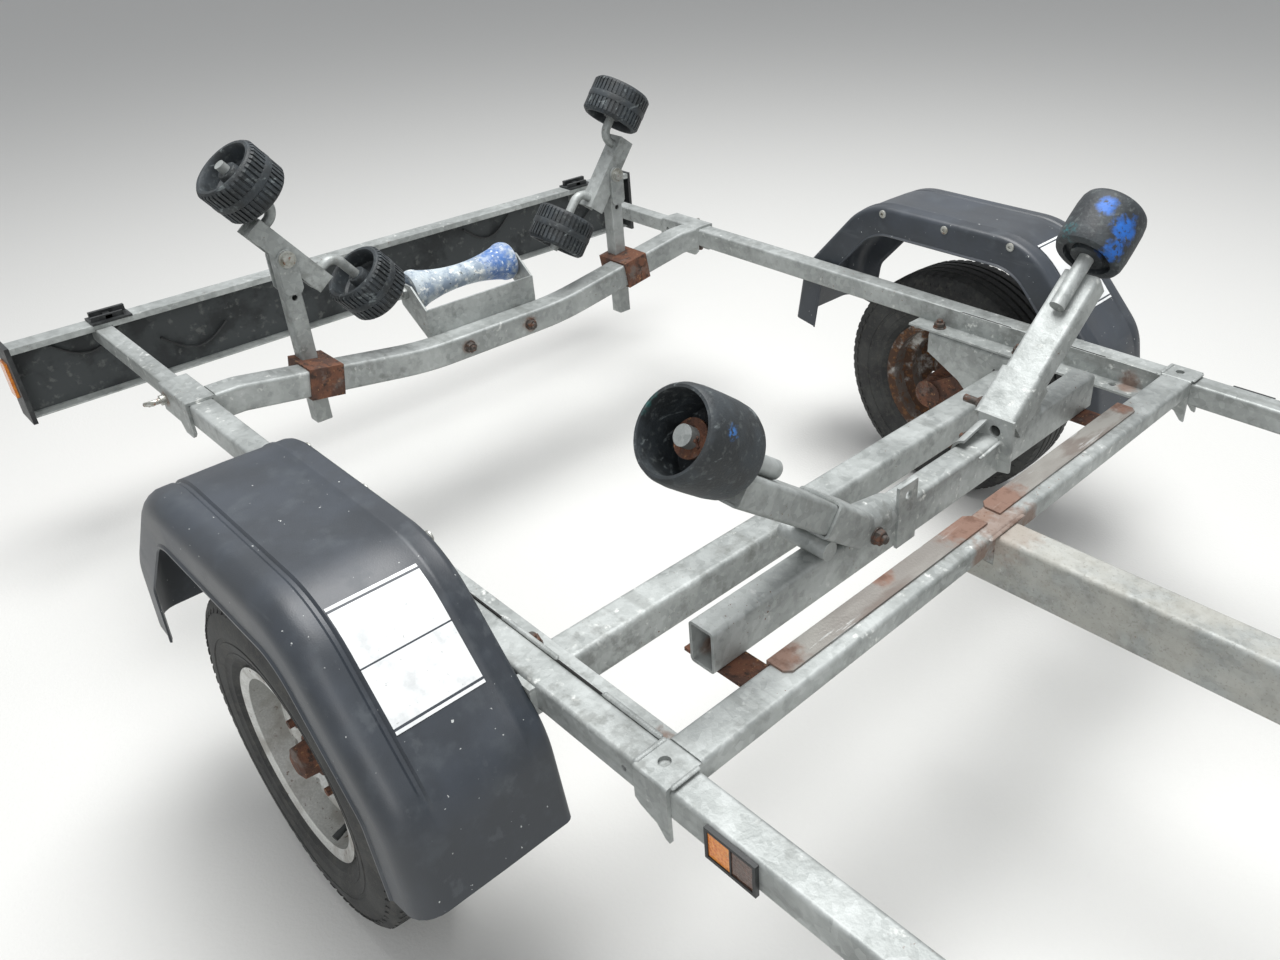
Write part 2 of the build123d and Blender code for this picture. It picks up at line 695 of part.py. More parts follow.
handle = rod((screw_x, leg_outer - rail_wall + 0.05, rail_z), (screw_x, leg_outer + 34, rail_z), screw_radius)
handle += rod((screw_x, leg_outer + plate, rail_z), (screw_x, leg_outer + plate + 9, rail_z), 9)
handle += rod((screw_x - 26, leg_outer + 32, rail_z - 10), (screw_x + 26, leg_outer + 32, rail_z + 10), 4)
save("clamp_screws", both(handle))

stud_x = rear_x + 8
stud = rod((stud_x, rail_y, rail_bottom), (stud_x, rail_y, rail_bottom - 16), bolt_radius)
stud += hexagon((stud_x, rail_y, rail_bottom - 2.5), (stud_x, rail_y, rail_bottom - 14), nut_across)
stud += rod((stud_x, rail_y, rail_bottom), (stud_x, rail_y, rail_bottom - 2.5), 12)
rear_studs = both(stud)

# Posts in folded clamps on the rear cross-member
posts = []
clamps = []
slope = rear_drop / (bend_y - rear_flat)
clamp_z = low_z + (post_y - rear_flat) * slope
half_post = post_size / 2
cheek_in = half_post + fork_gap
cheek_out = cheek_in + fork_wall
for side, pivot_z in ((1, pivot_z_left), (-1, pivot_z_right)):
    y = side * post_y
    bottom = pivot_z - 319
    post_run = [(post_x, y, bottom), (post_x, y, pivot_z + 10)]
    post = square_tube(post_run, [], post_size, post_size, 3.0, up=(1, 0, 0), corner=3.5)
    post -= rod((post_x - 40, y, pivot_z - 73), (post_x + 40, y, pivot_z - 73), 5)
    fork_points = [
        (y - 17, pivot_z - 56),
        (y - 12, pivot_z - 64),
        (y + 12, pivot_z - 64),
        (y + 17, pivot_z - 56),
        (y + 17, pivot_z),
        (y - 17, pivot_z),
    ]
    for m in (1, -1):
        x0, x1 = sorted((post_x + m * cheek_in, post_x + m * cheek_out))
        cheek = profile_x(fork_points, x0, x1)
        cheek += rod((x0, y, pivot_z), (x1, y, pivot_z), 17)
        x0, x1 = sorted((post_x + m * half_post, post_x + m * (cheek_in + 0.5)))
        post += cheek + box(x0, x1, y - 12, y + 12, pivot_z - 64, pivot_z - 38.5)
    post -= rod((post_x - 60, y, pivot_z), (post_x + 60, y, pivot_z), bolt_radius + 0.05)
    posts.append(post)
save("posts", posts)

for side, pivot_z in ((1, pivot_z_left), (-1, pivot_z_right)):
    y = side * post_y
    lean = side * degrees(atan2(rear_drop, bend_y - rear_flat))
    place = Location((0, y, clamp_z), (1, 0, 0), lean)
    half_rear = rear_size / 2
    clamp_rear = post_x - half_post - 4
    c = box(clamp_rear, rear_front + 4, -half_post - 16, half_post + 16, -half_rear - 4, half_rear + 4)
    c -= box(rear_x - half_rear, rear_front, -90, 90, -half_rear, half_rear)
    c = place * c
    c -= box(post_x - half_post, rear_x - half_rear + 0.01, y - half_post, y + half_post, 0, 900)
    clamps.append(c)
save("post_clamps", clamps)

# Rockers on the post heads, each with two bent rods
t = radians(rocker_angle)
for side, name, pivot_z in ((1, "left", pivot_z_left), (-1, "right", pivot_z_right)):
    along = Vector(0, side * cos(t), sin(t))
    toward = Vector(0, -side * sin(t), cos(t))
    pivot = Vector(post_x, side * post_y, pivot_z)

    def on_rocker(a, b, x=0.0):
        """Point measured along the rocker and toward the hull"""
        p = pivot + along * a + toward * b + Vector(x, 0, 0)
        return (p.X, p.Y, p.Z)

    place = Plane(origin=pivot, x_dir=(1, 0, 0), z_dir=along)
    flip = 1 if abs((place.y_dir - toward).length) < 0.01 else -1
    web_in = half_post + 8
    edge = -10.0
    section = Pos(0, flip * (web_in + 3 + edge) / 2) * Rectangle(2 * cheek_in - 1, web_in + 3 - edge)
    rocker = extrude(place.offset(-88) * section, 164)
    rocker += rod(on_rocker(0, 0, -cheek_in + 0.5), on_rocker(0, 0, cheek_in - 0.5), 16)
    hollow = Pos(0, flip * (web_in / 2 - 20)) * Rectangle(2 * half_post + 1, web_in + 40)
    rocker -= extrude(place.offset(-100) * hollow, 200)
    rocker -= rod(on_rocker(0, 0, -40), on_rocker(0, 0, 40), bolt_radius + 0.05)
    plug = Pos(0, flip * (web_in + edge) / 2) * Rectangle(2 * half_post + 2, web_in - edge)
    for m, start, centre_a in ((1, 56.0, rocker_outer), (-1, -70.0, rocker_inner)):
        tip = centre_a + m * (ribbed_length / 2 + 6)
        points = [on_rocker(start, edge + 4), on_rocker(start, rocker_offset), on_rocker(tip, rocker_offset)]
        rocker += round_run(points, [24.0], rod_radius)
        rocker += extrude(place.offset(start - 12) * plug, 24)
    save("rocker_" + name, rocker)

    for centre_a, which in ((rocker_outer, "outer"), (rocker_inner, "inner")):
        c = on_rocker(centre_a, rocker_offset)
        hl = ribbed_length / 2
        rr = ribbed_radius
        bore = rod_radius + pin_gap
        axis = (along.X, along.Y, along.Z)
        roller = turned(
            [(-hl, rr - 16), (-hl, rr - 8), (-hl + 2.5, rr - 3.5), (-hl + 7, rr - 0.8), (-hl + 26, rr),
             (hl - 26, rr), (hl - 7, rr - 0.8), (hl - 2.5, rr - 3.5), (hl, rr - 8), (hl, rr - 16),
             (hl - 5, rr - 19), (10, rr - 20), (10, 20), (hl - 8, 18), (hl - 8, bore),
             (-hl + 8, bore), (-hl + 8, 18), (-10, 20), (-10, rr - 20), (-hl + 5, rr - 19)],
            c, axis,
        )
        save("ribbed_roller_" + name + "_" + which, roller)

rocker_pins = []
for side, pivot_z in ((1, pivot_z_left), (-1, pivot_z_right)):
    y = side * post_y
    x0 = post_x - cheek_out
    x1 = post_x + cheek_out
    b = rod((x0 - 12, y, pivot_z), (x1 + 8, y, pivot_z), bolt_radius)
    b += rod((x1, y, pivot_z), (x1 + 2.5, y, pivot_z), 15)
    b += hexagon((x1 + 2, y, pivot_z), (x1 + 10, y, pivot_z), nut_across)
    b += hexagon((x0 - 10, y, pivot_z), (x0, y, pivot_z), nut_across)
    rocker_pins.append(b)
save("rocker_pins", rocker_pins)

# Keel roller in its bracket behind the rear cross-member
half = keel_length / 2
back = rear_x - rear_size / 2
bracket = box(back - 4, back, -half - 8, half + 8, low_z - 25, low_z + 78)
for m in (1, -1):
    y0, y1 = sorted((m * (half + 4), m * (half + 8)))
    cheek = [
        (back - 1, low_z + 10),
        (back - 1, low_z + 78),
        (keel_x + 24, keel_z + 18),
        (keel_x - 14, keel_z + 18),
        (keel_x - 26, keel_z + 4),
        (keel_x - 20, keel_z - 30),
    ]
    bracket += profile_y(cheek, y0, y1)
for y in (-keel_bolt_y, keel_bolt_y):
    bracket -= rod((back - 20, y, low_z), (back + 10, y, low_z), bolt_hole_radius)
bracket += rod((keel_x, -half - 20, keel_z), (keel_x, half + 18, keel_z), 8)
bracket += hexagon((keel_x, half + 8, keel_z), (keel_x, half + 16, keel_z), 24)
bracket += hexagon((keel_x, -half - 8, keel_z), (keel_x, -half - 16, keel_z), 24)
save("keel_bracket", bracket)
k = keel_radius
bore = 8 + pin_gap
profile = [
    Line((-half, bore), (-half, k - 4)),
    ThreePointArc((-half, k - 4), (-half + 12, k), (-half + 26, k - 4)),
    ThreePointArc((-half + 26, k - 4), (0, k - 17), (half - 26, k - 4)),
    ThreePointArc((half - 26, k - 4), (half - 12, k), (half, k - 4)),
    Line((half, k - 4), (half, bore)),
    Line((half, bore), (-half, bore)),
]
place = Plane(origin=(keel_x, 0, keel_z), x_dir=(0, 1, 0), z_dir=(1, 0, 0))
keel = revolve(place * make_face(profile), Axis((keel_x, 0, keel_z), (0, 1, 0)), 360)
save("keel_roller", keel)

rear_bolts = []
for y in (-keel_bolt_y, keel_bolt_y):
    b = rod((rear_front + 4, y, low_z), (back - 16, y, low_z), bolt_radius)
    b += hexagon((rear_front, y, low_z), (rear_front + 8, y, low_z), nut_across)
    b += hexagon((back - 4, y, low_z), (back - 14, y, low_z), nut_across)
    rear_bolts.append(b)

# Light bar on two tubes that slide in the rails
bar_rear = bar_x - bar_depth
bar = box(bar_rear, bar_x, -bar_half, bar_half, bar_top - bar_sheet, bar_top)
bar_bottom = bar_top - bar_height
bar += box(bar_rear, bar_rear + bar_sheet, -bar_half, bar_half, bar_bottom, bar_top)
bar += box(bar_rear, bar_rear + 22, -bar_half, bar_half, bar_bottom, bar_bottom + bar_sheet)
bar += box(bar_x - bar_sheet, bar_x, -bar_half, bar_half, bar_top - 12, bar_top)
slide_size = rail_size - 2 * (rail_wall + slide_gap)
slide_low = rail_z - slide_size / 2
slide_high = rail_z + slide_size / 2
for y in (-rail_y, rail_y):
    bar -= box(bar_x - 10, bar_x + 10, y - slide_size / 2, y + slide_size / 2, slide_low, slide_high)
save("light_bar", bar)

slides = []
for y in (-rail_y, rail_y):
    slide_run = [(bar_rear + bar_sheet, y, rail_z), (rail_rear + 550, y, rail_z)]
    slides.append(square_tube(slide_run, [], slide_size, slide_size, 2.5, corner=3.0))
save("extension_tubes", slides)

caps = []
for m in (1, -1):
    y0, y1 = sorted((m * bar_half, m * (bar_half + 8)))
    cap = box(bar_rear - 30, bar_x, y0, y1, bar_bottom - 4, bar_top + 2)
    caps.append(cap)
save("light_bar_caps", caps)

amber = box(bar_rear - 22, bar_rear + 12, bar_half + 8, bar_half + 13, bar_top - 105, bar_top - 35)
save("side_reflectors_bar", both(amber))
amber = box(cross_front + 54, cross_front + 117, leg_outer, leg_outer + 8, rail_bottom - 4, rail_top - 3)
save("side_reflectors_rail", both(amber))

lamps = []
for m in (1, -1):
    y0, y1 = sorted((m * (bar_half - 20), m * (bar_half - 240)))
    lamp = box(bar_rear - 34, bar_rear, y0, y1, bar_top - 130, bar_top - 30)
    lamp = fillet(lamp.edges().filter_by(lambda e: e.center().X < bar_rear - 33), 8)
    lamps.append(lamp)
for m in (1, -1):
    y = m * (bar_half - 320)
    corners = [(y - 76, bar_top - 135), (y + 76, bar_top - 135), (y, bar_top - 8)]
    lamps.append(profile_x(corners, bar_rear - 8, bar_rear, rounds=[10, 10, 10]))
save("rear_lamps", lamps)

# Winch post with its winch and bow stop
post_top = rail_top + winch_height
winch_run = [(winch_x, 0, rail_top), (winch_x, 0, post_top)]
mast = drawbar_width
half_mast = mast / 2
winch_post = square_tube(winch_run, [], mast, mast, 3.0, up=(1, 0, 0), corner=6.0)
cheek = [
    (winch_x - 75, rail_top - 70),
    (winch_x - 75, rail_top + 20),
    (winch_x - 30, rail_top + 95),
    (winch_x + 30, rail_top + 95),
    (winch_x + 75, rail_top + 20),
    (winch_x + 75, rail_top - 70),
]
for m in (1, -1):
    y0, y1 = sorted((m * half_mast, m * (half_mast + 6)))
    winch_post += profile_y(cheek, y0, y1)
save("winch_post", winch_post)

drum_z = post_top - 150
mast_rear = winch_x - half_mast
drum_x = mast_rear - 62
winch_frame = box(mast_rear - 4, mast_rear, -52, 52, drum_z - 62, drum_z + 62)
side_plate = [
    (mast_rear - 2, drum_z - 62),
    (mast_rear - 2, drum_z + 62),
    (drum_x - 10, drum_z + 38),
    (drum_x - 38, drum_z + 12),
    (drum_x - 38, drum_z - 12),
    (drum_x - 10, drum_z - 38),
]
for m in (1, -1):
    y0, y1 = sorted((m * 48, m * 52))
    winch_frame += profile_y(side_plate, y0, y1)
winch_frame -= rod((drum_x, -80, drum_z), (drum_x, 80, drum_z), 8.1)
save("winch_frame", winch_frame)

drum = rod((drum_x, -42, drum_z), (drum_x, 42, drum_z), 18)
drum += rod((drum_x, -42, drum_z), (drum_x, -38, drum_z), 48)
drum += rod((drum_x, 38, drum_z), (drum_x, 42, drum_z), 48)
drum += rod((drum_x, -74, drum_z), (drum_x, 62, drum_z), 8)
grip_z = drum_z - 168
drum += box(drum_x - 12, drum_x + 12, -74, -68, grip_z - 12, drum_z + 12)
drum += rod((drum_x, -68, grip_z), (drum_x, -170, grip_z), 6)
drum += rod((drum_x, -80, grip_z), (drum_x, -168, grip_z), 15)
save("winch_drum", drum)

stop_z = post_top - 40
stop_x = mast_rear - 80
stop_in = half_mast
stop_out = half_mast + 4
stop = rod((stop_x, -stop_out - 11, stop_z), (stop_x, stop_out + 11, stop_z), 8)
for m in (1, -1):
    y0, y1 = sorted((m * stop_in, m * stop_out))
    stop += box(stop_x, winch_x + 20, y0, y1, stop_z - 18, stop_z + 18)
    stop += rod((stop_x, y0, stop_z), (stop_x, y1, stop_z), 18)
    stop += hexagon((stop_x, m * stop_out, stop_z), (stop_x, m * (stop_out + 8), stop_z), 24)
save("bow_stop", stop)
edge = half_mast - 2
bow_outline = [
    (-edge, bore),
    (-edge, 38),
    (-edge + 3, 42),
    (-5, 28),
    (5, 28),
    (edge - 3, 42),
    (edge, 38),
    (edge, bore),
]
save("bow_roller", turned(bow_outline, (stop_x, 0, stop_z), (0, 1, 0)))

# Pressed coupling head for a towing ball
head_half = drawbar_width / 2 + 5
head = box(drawbar_front - 115, drawbar_front + 6, -head_half, head_half, rail_top - 62, rail_top + 5)
head = fillet(head.edges().filter_by(Axis.X).group_by(Axis.Z)[-1], 5)
side_view = [
    (drawbar_front, rail_top - 62),
    (drawbar_front, rail_top + 5),
    (drawbar_front + 52, rail_top + 2),
    (ball_x - 4, ball_z + 36),
    (ball_x + 36, ball_z + 26),
    (ball_x + 36, ball_z - 22),
    (ball_x - 38, ball_z - 22),
    (ball_x - 62, ball_z + 4),
]
nose = profile_y(side_view, -36, 36, rounds=[0, 0, 14, 14, 0, 0, 0, 12])
tip = Pos(ball_x + 50, 0) * Rectangle(100, 100) - Pos(ball_x, 0) * Circle(36)
nose -= extrude(Plane.XY.offset(ball_z - 60) * tip, 160)
head += nose
half_bar = drawbar_width / 2
head -= box(drawbar_front - 200, drawbar_front, -half_bar, half_bar, rail_top - 90, rail_top)
head -= Pos(ball_x, 0, ball_z) * Sphere(ball_radius + 0.4)
head -= rod((ball_x, 0, ball_z - 6), (ball_x, 0, ball_z - 60), ball_radius + 1)
for x in coupling_bolts:
    head -= rod((x, -90, coupling_bolt_z), (x, 90, coupling_bolt_z), bolt_radius + 0.3)
save("coupling_head", head)

lever_points = [
    (drawbar_front + 40, 0, rail_top + 3),
    (drawbar_front + 20, 0, rail_top + 40),
    (drawbar_front - 100, 0, rail_top + 52),
]
lever = round_run(lever_points, [18], 9)
lever -= head
save("coupling_lever", lever)
bolts = []
for x in coupling_bolts:
    z = coupling_bolt_z
    b = rod((x, -head_half - 14, z), (x, head_half + 12, z), bolt_radius)
    b += hexagon((x, head_half, z), (x, head_half + 8, z), nut_across)
    b += hexagon((x, -head_half, z), (x, -head_half - 10, z), nut_across)
    bolts.append(b)
save("frame_bolts", front_studs + rear_studs + hanger + arm_bolts + rear_bolts + bolts)

# Jockey wheel in its clamp beside the drawbar
jockey_y = half_bar + jockey_clearance
clamp_low = rail_top - 70
outer_top = rail_top + 232
outer_low = outer_top - 370
outer_tube = box(jockey_x - 45, jockey_x + 45, half_bar, half_bar + 8, clamp_low, rail_top - 6)
outer_tube += box(jockey_x - 30, jockey_x + 30, half_bar + 8, jockey_y, clamp_low + 4, rail_top - 10)
outer_tube += rod((jockey_x, jockey_y, clamp_low + 4), (jockey_x, jockey_y, rail_top - 10), 30)
outer_tube += rod((jockey_x, jockey_y, outer_low), (jockey_x, jockey_y, outer_top), jockey_tube_radius)
inside = jockey_tube_radius - 3
outer_tube -= rod((jockey_x, jockey_y, outer_low - 30), (jockey_x, jockey_y, outer_top - 6), inside)
save("jockey_outer_tube", outer_tube)

axle_height = jockey_wheel_radius
inner_bottom = axle_height + jockey_wheel_radius + 34
inner_top = outer_top - 140
inner_tube = rod((jockey_x, jockey_y, inner_bottom), (jockey_x, jockey_y, inner_top), inside - 0.3)
inner_tube -= rod((jockey_x, jockey_y, inner_bottom - 5), (jockey_x, jockey_y, inner_top + 5), inside - 3.5)
inner_tube += rod((jockey_x, jockey_y, inner_bottom), (jockey_x, jockey_y, inner_bottom + 6), 19)
inner_tube += rod((jockey_x, jockey_y, inner_bottom - 12), (jockey_x, jockey_y, inner_bottom + 3), 10)
save("jockey_inner_tube", inner_tube)

fork_top = inner_bottom - 0.5
axle_at = jockey_x - jockey_trail
half_w = jockey_wheel_width / 2
fork_in = half_w + 7
fork_out = half_w + 11
fork = box(axle_at - 30, jockey_x + 24, jockey_y - fork_out, jockey_y + fork_out, fork_top - 6, fork_top)
blade = [
    (axle_at - 30, fork_top - 1),
    (jockey_x + 24, fork_top - 1),
    (axle_at + 16, axle_height - 14),
    (axle_at - 16, axle_height - 14),
]
for m in (1, -1):
    y0, y1 = sorted((jockey_y + m * fork_in, jockey_y + m * fork_out))
    fork += profile_y(blade, y0, y1)
fork -= rod((jockey_x, jockey_y, fork_top - 20), (jockey_x, jockey_y, fork_top + 20), 10 + pin_gap)
pin_end = fork_out + 8
fork += rod((axle_at, jockey_y - pin_end, axle_height), (axle_at, jockey_y + pin_end, axle_height), 8)
save("jockey_fork", fork)

jr = jockey_wheel_radius
hub_end = half_w + 5
wheel = turned(
    [(-hub_end, bore), (-hub_end, 22), (-half_w + 9, 24), (-half_w + 9, jr - 34), (-half_w, jr - 30),
     (-half_w, jr - 8), (-half_w + 8, jr), (half_w - 8, jr), (half_w, jr - 8), (half_w, jr - 30),
     (half_w - 9, jr - 34), (half_w - 9, 24), (hub_end, 22), (hub_end, bore)],
    (axle_at, jockey_y, axle_height), (0, 1, 0),
)
save("jockey_wheel", wheel)

crank_z = outer_top + 18
grip_x = jockey_x + 108
crank = rod((jockey_x, jockey_y, outer_top + 0.5), (jockey_x, jockey_y, crank_z + 6), 12)
crank += box(jockey_x - 12, grip_x + 12, jockey_y - 12, jockey_y + 12, crank_z, crank_z + 6)
crank += rod((grip_x, jockey_y, crank_z + 2), (grip_x, jockey_y, crank_z + 88), 6)
crank += rod((grip_x, jockey_y, crank_z + 12), (grip_x, jockey_y, crank_z + 87), 14)
save("jockey_crank", crank)
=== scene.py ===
import bmesh
import bpy
import json
import math
from mathutils import Matrix, Vector
from mathutils.geometry import tessellate_polygon


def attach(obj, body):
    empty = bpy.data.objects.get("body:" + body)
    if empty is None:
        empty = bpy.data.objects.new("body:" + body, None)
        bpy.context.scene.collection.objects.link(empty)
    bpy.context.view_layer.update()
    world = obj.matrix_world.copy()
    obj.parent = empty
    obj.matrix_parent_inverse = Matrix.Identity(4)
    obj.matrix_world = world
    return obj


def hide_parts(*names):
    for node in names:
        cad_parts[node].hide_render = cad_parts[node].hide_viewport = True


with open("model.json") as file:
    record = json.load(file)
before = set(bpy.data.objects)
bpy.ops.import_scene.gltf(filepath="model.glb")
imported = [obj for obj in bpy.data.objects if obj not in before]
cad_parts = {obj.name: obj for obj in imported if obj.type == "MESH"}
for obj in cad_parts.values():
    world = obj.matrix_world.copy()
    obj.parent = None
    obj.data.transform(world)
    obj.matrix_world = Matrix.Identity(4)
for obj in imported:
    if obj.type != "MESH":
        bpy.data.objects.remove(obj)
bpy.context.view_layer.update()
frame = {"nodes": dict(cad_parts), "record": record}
nodes = frame["nodes"]
wheelAxisX = -0.931  # where the wheel axis stands in the row frame


def at(x, y, z):  # millimetres from the wheel axis, the centreline and the ground
    return Vector((x / 1000 + wheelAxisX, y / 1000, z / 1000))


def linear(hexColour):  # sRGB hex to the linear colour that the shader wants
    parts = [int(hexColour[i:i + 2], 16) / 255 for i in (1, 3, 5)]
    return (*[c / 12.92 if c <= 0.04045 else ((c + 0.055) / 1.055) ** 2.4 for c in parts], 1.0)


def add(tree, kind, sockets=None, **settings):  # one node with its settings and links
    node = tree.nodes.new(kind)
    for name, value in settings.items():
        setattr(node, name, value)
    for socket, value in (sockets or {}).items():
        if isinstance(value, bpy.types.NodeSocket):
            tree.links.new(value, node.inputs[socket])
        else:
            node.inputs[socket].default_value = value
    return node


# surfaces
def startSurface(name, colour, roughness, metallic=0.0):
    # a finish under way: its even base, to which layers and bumps are added
    material = bpy.data.materials.new(name)
    material.use_nodes = True
    tree = material.node_tree
    tree.nodes.clear()
    place = add(tree, "ShaderNodeTexCoord").outputs["Object"]
    return {"material": material, "tree": tree, "place": place, "heights": [],
            "colour": linear(colour), "roughness": roughness, "metallic": metallic}


def patches(surface, sizeMm, start, end, detail=5.0, stretch=(1, 1, 1), seed=0.0):
    # cloudy patches about sizeMm across, 0 below start and 1 above end of the cloud
    tree = surface["tree"]
    moved = add(tree, "ShaderNodeMapping", {
        "Vector": surface["place"], "Location": (seed, seed * 0.7, -seed), "Scale": stretch})
    cloud = add(tree, "ShaderNodeTexNoise", {
        "Vector": moved.outputs[0], "Scale": 1000 / sizeMm, "Detail": detail, "Roughness": 0.6})
    return add(tree, "ShaderNodeMapRange", {
        "Value": cloud.outputs[0], "From Min": start, "From Max": end},
        interpolation_type="SMOOTHSTEP").outputs[0]


def nearSpot(surface, spot, radiusMm, raggedMm=12.0):
    # 1 at a place on the trailer and 0 beyond radiusMm, with a ragged edge
    tree, radius = surface["tree"], radiusMm / 1000
    gap = add(tree, "ShaderNodeVectorMath", {0: surface["place"], 1: spot}, operation="DISTANCE")
    cloud = add(tree, "ShaderNodeTexNoise", {
        "Vector": surface["place"], "Scale": 1000 / raggedMm, "Detail": 4.0})
    ragged = add(tree, "ShaderNodeMath", {
        0: cloud.outputs[0], 1: radius, 2: gap.outputs["Value"]}, operation="MULTIPLY_ADD")
    return add(tree, "ShaderNodeMapRange", {
        "Value": ragged.outputs[0], "From Min": radius * 1.5, "From Max": radius * 0.9},
        interpolation_type="SMOOTHSTEP").outputs[0]


def both(surface, first, second):
    # where two masks meet, or one mask at part strength
    return add(surface["tree"], "ShaderNodeMath", {0: first, 1: second},
               operation="MULTIPLY", use_clamp=True).outputs[0]


def facing(surface, axis, start, end):
    # 1 where the surface looks along an axis, such as up, and 0 where it looks away
    tree = surface["tree"]
    normal = add(tree, "ShaderNodeNewGeometry").outputs["Normal"]
    share = add(tree, "ShaderNodeVectorMath", {0: normal, 1: axis}, operation="DOT_PRODUCT")
    return add(tree, "ShaderNodeMapRange", {
        "Value": share.outputs["Value"], "From Min": start, "From Max": end}).outputs[0]


def addLayer(surface, where, colour, roughness=None, metallic=None, strength=1.0):
    # lays another finish over the surface where the mask says
    tree = surface["tree"]
    if strength != 1.0:
        where = both(surface, where, strength)
    surface["colour"] = add(tree, "ShaderNodeMix", {
        0: where, 6: surface["colour"], 7: linear(colour)}, data_type="RGBA").outputs[2]
    for key, value in (("roughness", roughness), ("metallic", metallic)):
        if value is not None:
            surface[key] = add(tree, "ShaderNodeMix", {0: where, 2: surface[key], 3: value}).outputs[0]


def weather(surface, sizeMm, start, end, colour, roughness, metallic=None, strength=1.0, **cloud):
    # another finish in patches
    addLayer(surface, patches(surface, sizeMm, start, end, **cloud), colour, roughness, metallic, strength)


def roughen(surface, millimetres, sizeMm, start, end, **cloud):
    # cloudy bumps of a height
    surface["heights"].append((patches(surface, sizeMm, start, end, **cloud), millimetres))


def finishSurface(surface, edgeMm=0.0, **sockets):
    # rounds the edges, lays the bumps and closes the material
    tree = surface["tree"]
    normal = None
    if edgeMm:
        normal = add(tree, "ShaderNodeBevel", {"Radius": edgeMm / 1000}, samples=4).outputs[0]
    for height, millimetres in surface["heights"]:
        bump = add(tree, "ShaderNodeBump", {
            "Height": height, "Distance": millimetres / 1000, "Strength": 1.0})
        if normal is not None:
            tree.links.new(normal, bump.inputs["Normal"])
        normal = bump.outputs[0]
    values = {"Base Color": surface["colour"], "Roughness": surface["roughness"],
              "Metallic": surface["metallic"]}
    if normal is not None:
        values["Normal"] = normal
    values.update({name.replace("_", " "): value for name, value in sockets.items()})
    shader = add(tree, "ShaderNodeBsdfPrincipled", values)
    add(tree, "ShaderNodeOutputMaterial", {"Surface": shader.outputs[0]})
    return surface["material"]


rustSpots = [  # x, y, z and radius where rust has come through the zinc, in millimetres
    (541, 0, 470, 62), (541, 60, 455, 24), (541, -60, 455, 24), (490, 0, 473, 40),
    (440, 545, 440, 26), (455, -540, 440, 24), (-700, 366, 400, 34), (-700, -366, 400, 34),
    (392, 500, 400, 30), (392, -400, 440, 26), (222, 600, 367, 40), (222, -600, 367, 40),
    (-634, 73, 392, 20), (-634, -73, 392, 20), (-735, 600, 448, 20), (-735, -600, 448, 20),
]


def makeGalvanised(name, sand):
    # hot-dip zinc gone dull outdoors: cloudy light and dark greys, white bloom, few rust runs, and painted
    # shade on faces that look down
    s = startSurface(name, "#8f9391", 0.5, 0.35)
    weather(s, 130, 0.42, 0.62, "#aaaeac", 0.55, seed=3.1)
    weather(s, 45, 0.5, 0.68, "#7b7f7d", 0.46, 0.45, strength=0.6, seed=7.7)
    crystals = add(s["tree"], "ShaderNodeTexVoronoi", {"Vector": s["place"], "Scale": 1000 / 9})
    tone = add(s["tree"], "ShaderNodeSeparateXYZ", {0: crystals.outputs["Color"]})
    addLayer(s, both(s, tone.outputs[0], 0.22), "#d5d9d8")
    addLayer(s, both(s, tone.outputs[1], 0.2), "#7d8280", 0.38)
    streaks = patches(s, 60, 0.56, 0.7, stretch=(0.16, 1.6, 1.6), seed=1.3)
    addLayer(s, streaks, "#6f726e", 0.6, strength=0.4)
    bloom = patches(s, 14, 0.58, 0.72, detail=8, seed=5.2)
    addLayer(s, both(s, bloom, patches(s, 220, 0.45, 0.6, seed=9.0)), "#dadcd8", 0.75, 0.1)
    # painted shade: faces that look down are darkened towards a dull grey
    paintedUndersideShade = facing(s, (0, 0, -1), 0.2, 0.9)
    addLayer(s, paintedUndersideShade, "#5f625d", 0.7, 0.2, strength=0.55)
    grime = patches(s, 26, 0.5, 0.66, detail=7, seed=12.0)
    addLayer(s, both(s, grime, patches(s, 300, 0.48, 0.62, seed=2.0)), "#55564f", 0.75, 0.1, strength=0.42)
    for x, y, z, radius in rustSpots:
        spot = nearSpot(s, at(x, y, z), radius)
        addLayer(s, spot, "#806352", 0.8, 0.05, strength=0.7)
        addLayer(s, both(s, spot, patches(s, 16, 0.5, 0.68, seed=4.0)), "#54392c", 0.85, 0.0, strength=0.6)
    pits = patches(s, 5, 0.66, 0.72, detail=3, seed=6.0)
    addLayer(s, both(s, pits, patches(s, 160, 0.5, 0.6, seed=8.0)), "#6b4630", 0.8, 0.1)
    if sand:  # dried beige silt with dark grit in it
        weather(s, 80, 0.3, 0.6, "#b0aea5", 0.8, 0.1, strength=sand, detail=7, seed=15.0)
        weather(s, 4, 0.56, 0.66, "#77746b", 0.85, 0.0, strength=sand * 0.6, detail=4, seed=16.0)
    roughen(s, 0.25, 5, 0.2, 0.8, detail=6, seed=2.5)
    roughen(s, 1.2, 90, 0.2, 0.8, detail=2, seed=3.5)
    return finishSurface(s, edgeMm=1.0)


